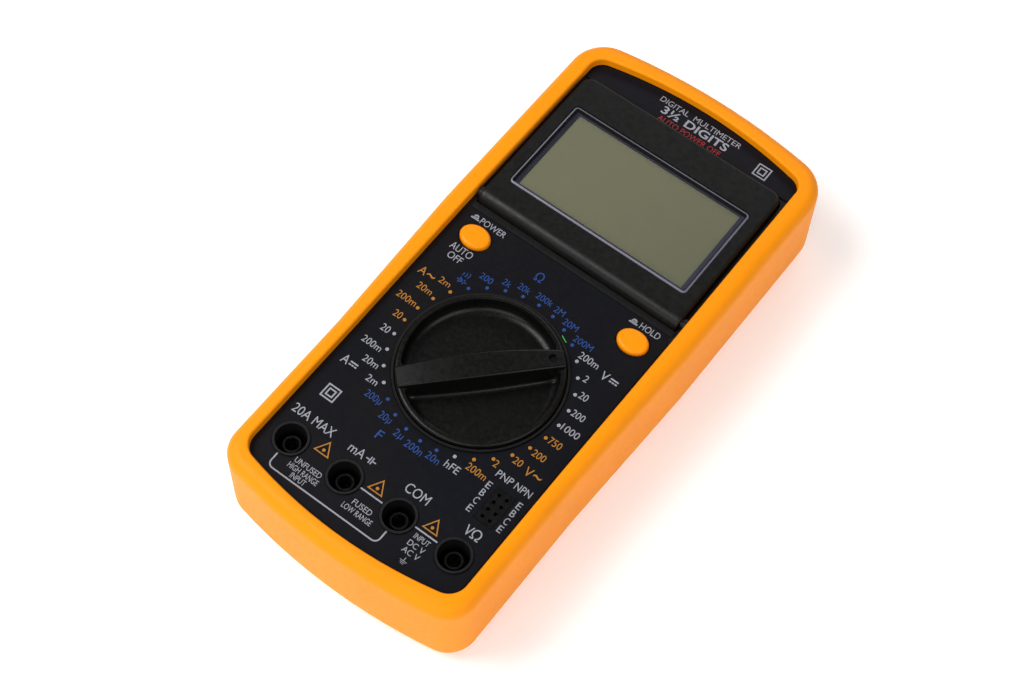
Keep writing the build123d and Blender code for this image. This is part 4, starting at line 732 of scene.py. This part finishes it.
@dataclass
class FacePrint:
    """Everything printed on the two face labels."""

    layer: float = 0.03
    dot: float = 1.1
    dot_ring: float = 27.41
    dot_start: float = 146.25
    dots: int = 32
    line: float = 0.45
    fine_line: float = 0.35
    pin_columns: tuple[float, float] = (23.2, 33.6)
    pin_rows: tuple[float, ...] = (-26.4, -29.2, -32.1, -35.0)
    pin_names: str = "EBCE"
    pin_height: float = 2.2
    pin_width: float = 1.4
    triangles: tuple[float, ...] = (-19.2, -0.2, 18.9)
    triangle_y: float = -45.75
    triangle_r: float = 3.05
    triangle_dot_y: float = -45.9
    triangle_dot_r: float = 0.5
    bracket_x: tuple[float, float] = (-28.7, 9.7)
    bracket_y: tuple[float, float] = (-54.3, -58.7)
    bracket_corner: float = 1.7
    key_signs: tuple[float, float] = (-32.4, 24.7)
    key_y: float = 39.35
    key_foot: float = 2.8
    key_foot_line: float = 0.5
    key_cap: float = 1.7
    key_cap_line: float = 0.8
    key_cap_up: float = 0.5
    key_dome: float = 0.75
    key_dome_up: float = 1.0
    key_dome_squash: float = 0.6
    diode: tuple[float, float] = (-22.9, 20.2)
    diode_r: float = 1.2
    diode_line: float = 0.3
    sound: tuple[float, float] = (-23.6, 21.8)
    sound_r: float = 0.9
    sound_step: tuple[float, float] = (0.9, 0.25)
    sound_line: float = 0.28
    double_squares: tuple[tuple[float, float], ...] = ((-29.0, -31.0), (25.0, 105.0))
    square_sizes: tuple[float, float] = (3.3, 1.8)
    meshes: dict[Ink, bmesh.types.BMesh] = field(default_factory=dict)

    def __post_init__(self) -> None:
        """Finds the dial's middle and the labels' top, and starts a mesh for each ink."""
        low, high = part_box("selector_knob")
        self.centre = (low + high) / 2
        self.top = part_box("main_label")[1].z
        self.meshes = {ink: bmesh.new() for ink in Ink}

    def keep(self, flat: bmesh.types.BMesh, ink: Ink) -> None:
        """Puts a flat drawing, in millimetres from the dial's middle, into an ink's mesh.

        Args:
            flat: faces of the drawing, or a closed layer of unit depth.
            ink: its ink.
        """
        depth = max(v.co.z for v in flat.verts) - min(v.co.z for v in flat.verts)
        if depth < FLAT:
            made = bmesh.ops.extrude_face_region(flat, geom=list(flat.faces))
            raised = [g for g in made["geom"] if isinstance(g, bmesh.types.BMVert)]
            bmesh.ops.translate(flat, verts=raised, vec=(0.0, 0.0, 1.0))
        lowest = min(v.co.z for v in flat.verts)
        depth = max(v.co.z for v in flat.verts) - lowest
        place = (Matrix.Translation((self.centre.x, self.centre.y, self.top))
                 @ Matrix.Diagonal((MM, MM, self.layer * MM / depth, 1.0))
                 @ Matrix.Translation((0.0, 0.0, -lowest)))
        bmesh.ops.transform(flat, matrix=place, verts=flat.verts)
        bmesh.ops.remove_doubles(flat, verts=flat.verts, dist=PRINT_MERGE)
        mesh = bpy.data.meshes.new("print_part")
        flat.to_mesh(mesh)
        flat.free()
        self.meshes[ink].from_mesh(mesh)
        bpy.data.meshes.remove(mesh)

    def letters(self, stamp: Stamp) -> None:
        """Sets one stamp in type, fitted to its place."""
        curve = bpy.data.curves.new("type", "FONT")
        curve.body = stamp.text
        curve.resolution_u = CURVE_STEPS
        curve.extrude = TYPE_DEPTH
        curve.offset = stamp.weight
        holder = link(bpy.data.objects.new("type", curve))
        bpy.context.view_layer.update()
        mesh = bpy.data.meshes.new_from_object(holder)
        flat = bmesh.new()
        flat.from_mesh(mesh)
        bpy.data.objects.remove(holder)
        bpy.data.curves.remove(curve)
        bpy.data.meshes.remove(mesh)
        across = [v.co.x for v in flat.verts]
        up = [v.co.y for v in flat.verts]
        wide = (stamp.right - stamp.left) / (max(across) - min(across))
        bottom, tall = ((min(up), max(up) - min(up)) if stamp.boxed else (0.0, CAPITAL))
        place = (Matrix.Translation((stamp.left, stamp.base, 0.0))
                 @ Matrix.Diagonal((wide, stamp.height / tall, 1.0, 1.0))
                 @ Matrix.Translation((-min(across), -bottom, 0.0)))
        bmesh.ops.transform(flat, matrix=place, verts=flat.verts)
        self.keep(flat, stamp.ink)

    def outline(self, x: float, y: float, radius: float, sides: int, line: float, ink: Ink,
                turn: float = 0.0) -> None:
        """Draws a regular outline.

        Args:
            x: place across.
            y: place up the face.
            radius: radius to the corners.
            sides: number of sides.
            line: width of the line.
            ink: its ink.
            turn: turn in degrees.
        """
        flat = bmesh.new()
        bmesh.ops.create_circle(flat, cap_ends=True, segments=sides, radius=radius)
        place = Matrix.Translation((x, y, 0.0)) @ Matrix.Rotation(math.radians(turn), 4, "Z")
        bmesh.ops.transform(flat, matrix=place, verts=flat.verts)
        inner = list(flat.faces)
        bmesh.ops.inset_region(flat, faces=inner, thickness=line, use_boundary=True,
                               use_even_offset=True)
        bmesh.ops.delete(flat, geom=inner, context="FACES_ONLY")
        self.keep(flat, ink)

    def disc(self, x: float, y: float, radius: float, ink: Ink, squash: float = 1.0,
             sides: int = 24) -> None:
        """Prints a filled round mark."""
        flat = bmesh.new()
        bmesh.ops.create_circle(flat, cap_ends=True, segments=sides, radius=radius)
        place = Matrix.Translation((x, y, 0.0)) @ Matrix.Diagonal((1.0, squash, 1.0, 1.0))
        bmesh.ops.transform(flat, matrix=place, verts=flat.verts)
        self.keep(flat, ink)

    def ribbon(self, start: tuple[float, float], heading: float, steps: Iterable[tuple],
               line: float, ink: Ink) -> None:
        """Draws a line of straight runs and round turns.

        Args:
            start: where it starts.
            heading: its first direction, in degrees.
            steps: ("go", length) or ("turn", angle, radius).
            line: its width.
            ink: its ink.
        """
        flat = bmesh.new()
        at = Vector((start[0], start[1], 0.0))
        across = Matrix.Rotation(math.radians(heading + 90.0), 3, "Z") @ Vector((1, 0, 0))
        ends = [flat.verts.new(at + across * side * line / 2) for side in (-1, 1)]
        edge = flat.edges.new(ends)
        for step in steps:
            along = Matrix.Rotation(math.radians(heading), 3, "Z") @ Vector((1, 0, 0))
            side = Matrix.Rotation(math.radians(90.0), 3, "Z") @ along
            if step[0] == "go":
                made = bmesh.ops.extrude_edge_only(flat, edges=[edge])["geom"]
                moved = [g for g in made if isinstance(g, bmesh.types.BMVert)]
                bmesh.ops.translate(flat, verts=moved, vec=along * step[1])
                at += along * step[1]
            else:
                angle, radius = step[1], step[2]
                centre = at + side * math.copysign(radius, angle)
                made = bmesh.ops.spin(flat, geom=[edge, *edge.verts], cent=centre,
                                      axis=(0, 0, 1), angle=math.radians(angle),
                                      steps=TURN_STEPS, use_merge=False)["geom_last"]
                at = centre + Matrix.Rotation(math.radians(angle), 3, "Z") @ (at - centre)
                heading += angle
            edge = next(g for g in made if isinstance(g, bmesh.types.BMEdge))
        bmesh.ops.recalc_face_normals(flat, faces=flat.faces)
        self.keep(flat, ink)

    def stroke(self, mark: Stroke) -> None:
        """Prints one straight line."""
        self.ribbon((mark.x, mark.y), mark.heading, [("go", mark.length)], mark.line, mark.ink)

    @staticmethod
    def dot_ink(index: int) -> Ink:
        """The colour of a range's dot."""
        if index in BLUE_DOTS:
            return Ink.BLUE
        return Ink.ORANGE if index in ORANGE_DOTS else Ink.WHITE

    def dial_dots(self) -> None:
        """A dot for each of the switch's positions."""
        for index in range(self.dots):
            angle = math.radians(self.dot_start - index * 360.0 / self.dots)
            self.disc(self.dot_ring * math.cos(angle), self.dot_ring * math.sin(angle),
                      self.dot / 2, self.dot_ink(index), sides=16)

    def socket_signs(self) -> None:
        """Bracket, tie lines, pin letters and plain triangles round the sockets."""
        (left, right), (high, low), corner = self.bracket_x, self.bracket_y, self.bracket_corner
        drop = high - low - corner
        width = right - left - 2 * corner
        self.ribbon((left, high), -90.0, [("go", drop), ("turn", 90.0, corner), ("go", width),
                    ("turn", 90.0, corner), ("go", drop)], self.line, Ink.WHITE)
        for mark in TIE_STROKES:
            self.stroke(mark)
        for column in self.pin_columns:
            for name, row in zip(self.pin_names, self.pin_rows):
                self.letters(Stamp(name, column - self.pin_width / 2,
                                   column + self.pin_width / 2, row - self.pin_height / 2,
                                   self.pin_height))
        for x in self.triangles:
            self.outline(x, self.triangle_y, self.triangle_r, 3, self.fine_line, Ink.ORANGE)
            self.disc(x, self.triangle_dot_y, self.triangle_dot_r, Ink.ORANGE)

    def key_sign(self, x: float) -> None:
        """A push key's sign: a dome on a cap on a wider foot."""
        self.disc(x, self.key_y + self.key_dome_up, self.key_dome, Ink.WHITE,
                  self.key_dome_squash)
        self.stroke(Stroke(x - self.key_cap / 2, self.key_y + self.key_cap_up, 0.0,
                           self.key_cap, self.key_cap_line))
        self.stroke(Stroke(x - self.key_foot / 2, self.key_y, 0.0, self.key_foot,
                           self.key_foot_line))

    def small_signs(self) -> None:
        """Push-key, diode, sound, capacitor and double-square signs, and the dial's tick."""
        for x in self.key_signs:
            self.key_sign(x)
        for mark in DIODE_STROKES:
            self.stroke(mark)
        self.outline(*self.diode, self.diode_r, 3, self.diode_line, Ink.BLUE, -90.0)
        across, wider = self.sound_step
        for step in range(3):
            self.ribbon((self.sound[0] + across * step, self.sound[1]), 50.0,
                        [("turn", 80.0, self.sound_r + wider * step)], self.sound_line, Ink.BLUE)
        for mark in (*CAPACITOR_STROKES, DIAL_TICK):
            self.stroke(mark)
        for x, y in self.double_squares:
            for size in self.square_sizes:
                self.outline(x, y, size, 4, self.line, Ink.WHITE, 45.0)

    def build(self) -> None:
        """Prints every mark and makes one piece for each ink."""
        for group in (SWITCH_MARKS, DIRECT_MARKS, OHM_MARKS, CAPACITANCE_MARKS,
                      ALTERNATING_MARKS, SOCKET_MARKS, TOP_MARKS):
            for stamp in group:
                self.letters(stamp)
        self.dial_dots()
        self.socket_signs()
        self.small_signs()
        for ink, bm in self.meshes.items():
            add_piece(f"print_{ink.value}", bm, "case", [INK_FINISH[ink]])


# ------------------------------------------------------------------ display window
@dataclass
class Window:
    """The display's clear window, whose bevel round its face carries a painted highlight."""

    corner: float = 1.5
    bevel: float = 0.75
    corner_steps: int = 8
    bevel_steps: int = 2
    sharp: float = 0.5
    sloped: tuple[float, float] = (0.15, 0.98)

    def build(self) -> bpy.types.Object:
        """A rounded plate whose upper edge is bevelled.

        Returns:
            The window's piece.
        """
        low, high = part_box("lcd_lens")
        size, middle = high - low, (high + low) / 2
        bm = bmesh.new()
        bmesh.ops.create_cube(bm, size=1.0)
        bmesh.ops.transform(bm, verts=bm.verts, matrix=Matrix.Translation(middle)
                            @ Matrix.Diagonal((size.x, size.y, size.z, 1.0)))
        upright = [e for e in bm.edges
                   if abs(e.verts[0].co.z - e.verts[1].co.z) > size.z / 2]
        bmesh.ops.bevel(bm, geom=upright, offset=self.corner * MM, offset_type="OFFSET",
                        segments=self.corner_steps, profile=0.5, affect="EDGES", material=-1)
        rim = [e for e in bm.edges if min(v.co.z for v in e.verts) > high.z - 1e-6
               and e.calc_face_angle(0.0) > self.sharp]
        bmesh.ops.bevel(bm, geom=rim, offset=self.bevel * MM, offset_type="OFFSET",
                        segments=self.bevel_steps, profile=0.5, affect="EDGES", material=-1)
        # painted highlight: the bevel's sloped faces take the pale grey edge finish instead of the
        # clear one
        for face in bm.faces:
            if self.sloped[0] < face.normal.z < self.sloped[1]:
                face.material_index = 1
        piece = add_piece("window_pane", bm, "display", [WINDOW, WINDOW_EDGE_HIGHLIGHT])
        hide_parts("lcd_lens")
        return piece


# ------------------------------------------------------------------ studio
def bearing(azimuth: float, elevation: float) -> Vector:
    """The way from the object to a camera or light.

    Args:
        azimuth: 0 is towards -Y and 90 towards +X, in degrees.
        elevation: height above the horizon, in degrees.

    Returns:
        A unit vector.
    """
    turn, rise = math.radians(azimuth), math.radians(elevation)
    return Vector((math.sin(turn) * math.cos(rise), -math.cos(turn) * math.cos(rise),
                   math.sin(rise)))


def facing(away: Vector) -> Matrix:
    """The turn that points a camera or light back along a way."""
    return (-away).to_track_quat("-Z", "Y").to_matrix().to_4x4()


@dataclass(frozen=True)
class Softbox:
    """One rectangular light, aimed at the object."""

    name: str
    azimuth: float
    elevation: float
    distance: float
    width: float
    height: float
    watts: float

    def build(self) -> None:
        """Makes the light."""
        data = bpy.data.lights.new(self.name, "AREA")
        data.shape = "RECTANGLE"
        data.size, data.size_y = self.width * MM, self.height * MM
        data.energy = self.watts
        away = bearing(self.azimuth, self.elevation)
        place = Matrix.Translation(away * self.distance * MM)
        link(bpy.data.objects.new(self.name, data)).matrix_world = place @ facing(away)


@dataclass(frozen=True)
class Studio:
    """Floor, camera and soft lights."""

    aim: tuple[float, float, float] = (0.951, -11.113, 30.0)
    azimuth: float = 34.783
    elevation: float = 61.098
    roll: float = 2.766
    distance: float = 601.1
    lens: float = 74.4
    clip: tuple[float, float] = (0.01, 50.0)
    floor_size: float = 6000.0
    floor_gap: float = 0.02
    floor_cells: int = 4
    sky: float = 0.16
    boxes: tuple[Softbox, ...] = (
        Softbox("key", -60.0, 52.0, 1100.0, 700.0, 700.0, 9.8),
        Softbox("right_fill", 75.0, 38.0, 1200.0, 900.0, 600.0, 4.5),
        Softbox("back", 190.0, 35.0, 1300.0, 1100.0, 400.0, 4.0),
        Softbox("front_fill", 10.0, 30.0, 1300.0, 1000.0, 500.0, 5.0),
    )

    def camera(self) -> None:
        """Sets up the camera."""
        data = bpy.data.cameras.new("camera")
        data.lens = self.lens
        data.clip_start, data.clip_end = self.clip
        holder = link(bpy.data.objects.new("camera", data))
        away = bearing(self.azimuth, self.elevation)
        place = Matrix.Translation(Vector(self.aim) * MM + away * self.distance * MM)
        roll = Matrix.Rotation(math.radians(self.roll), 4, "Z")
        holder.matrix_world = place @ facing(away) @ roll
        bpy.context.scene.camera = holder

    def floor(self) -> None:
        """A wide pale floor just under the object."""
        bm = bmesh.new()
        bmesh.ops.create_grid(bm, x_segments=self.floor_cells, y_segments=self.floor_cells,
                              size=self.floor_size / 2 * MM)
        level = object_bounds()[0].z - self.floor_gap * MM
        bmesh.ops.translate(bm, verts=bm.verts, vec=(0.0, 0.0, level))
        mesh = bpy.data.meshes.new("floor")
        bm.to_mesh(mesh)
        bm.free()
        mesh.materials.append(Floor().material())
        link(bpy.data.objects.new("floor", mesh))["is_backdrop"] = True

    def sky_light(self) -> None:
        """A dim even sky."""
        world = bpy.data.worlds.new("sky")
        world.use_nodes = True
        back = world.node_tree.nodes["Background"]
        back.inputs["Color"].default_value = (1.0, 1.0, 1.0, 1.0)
        back.inputs["Strength"].default_value = self.sky
        bpy.context.scene.world = world

    def build(self) -> None:
        """Sets the whole studio up."""
        self.floor()
        self.camera()
        for box in self.boxes:
            box.build()
        self.sky_light()
        bpy.context.scene.view_settings.view_transform = "Standard"


def main() -> None:
    """Builds the look in order."""
    logging.basicConfig(level=logging.INFO, format="%(name)s: %(message)s")
    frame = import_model()
    Studio().build()
    dress(frame["nodes"])
    FacePrint().build()
    Window().build()


if __name__ == "__main__":
    main()
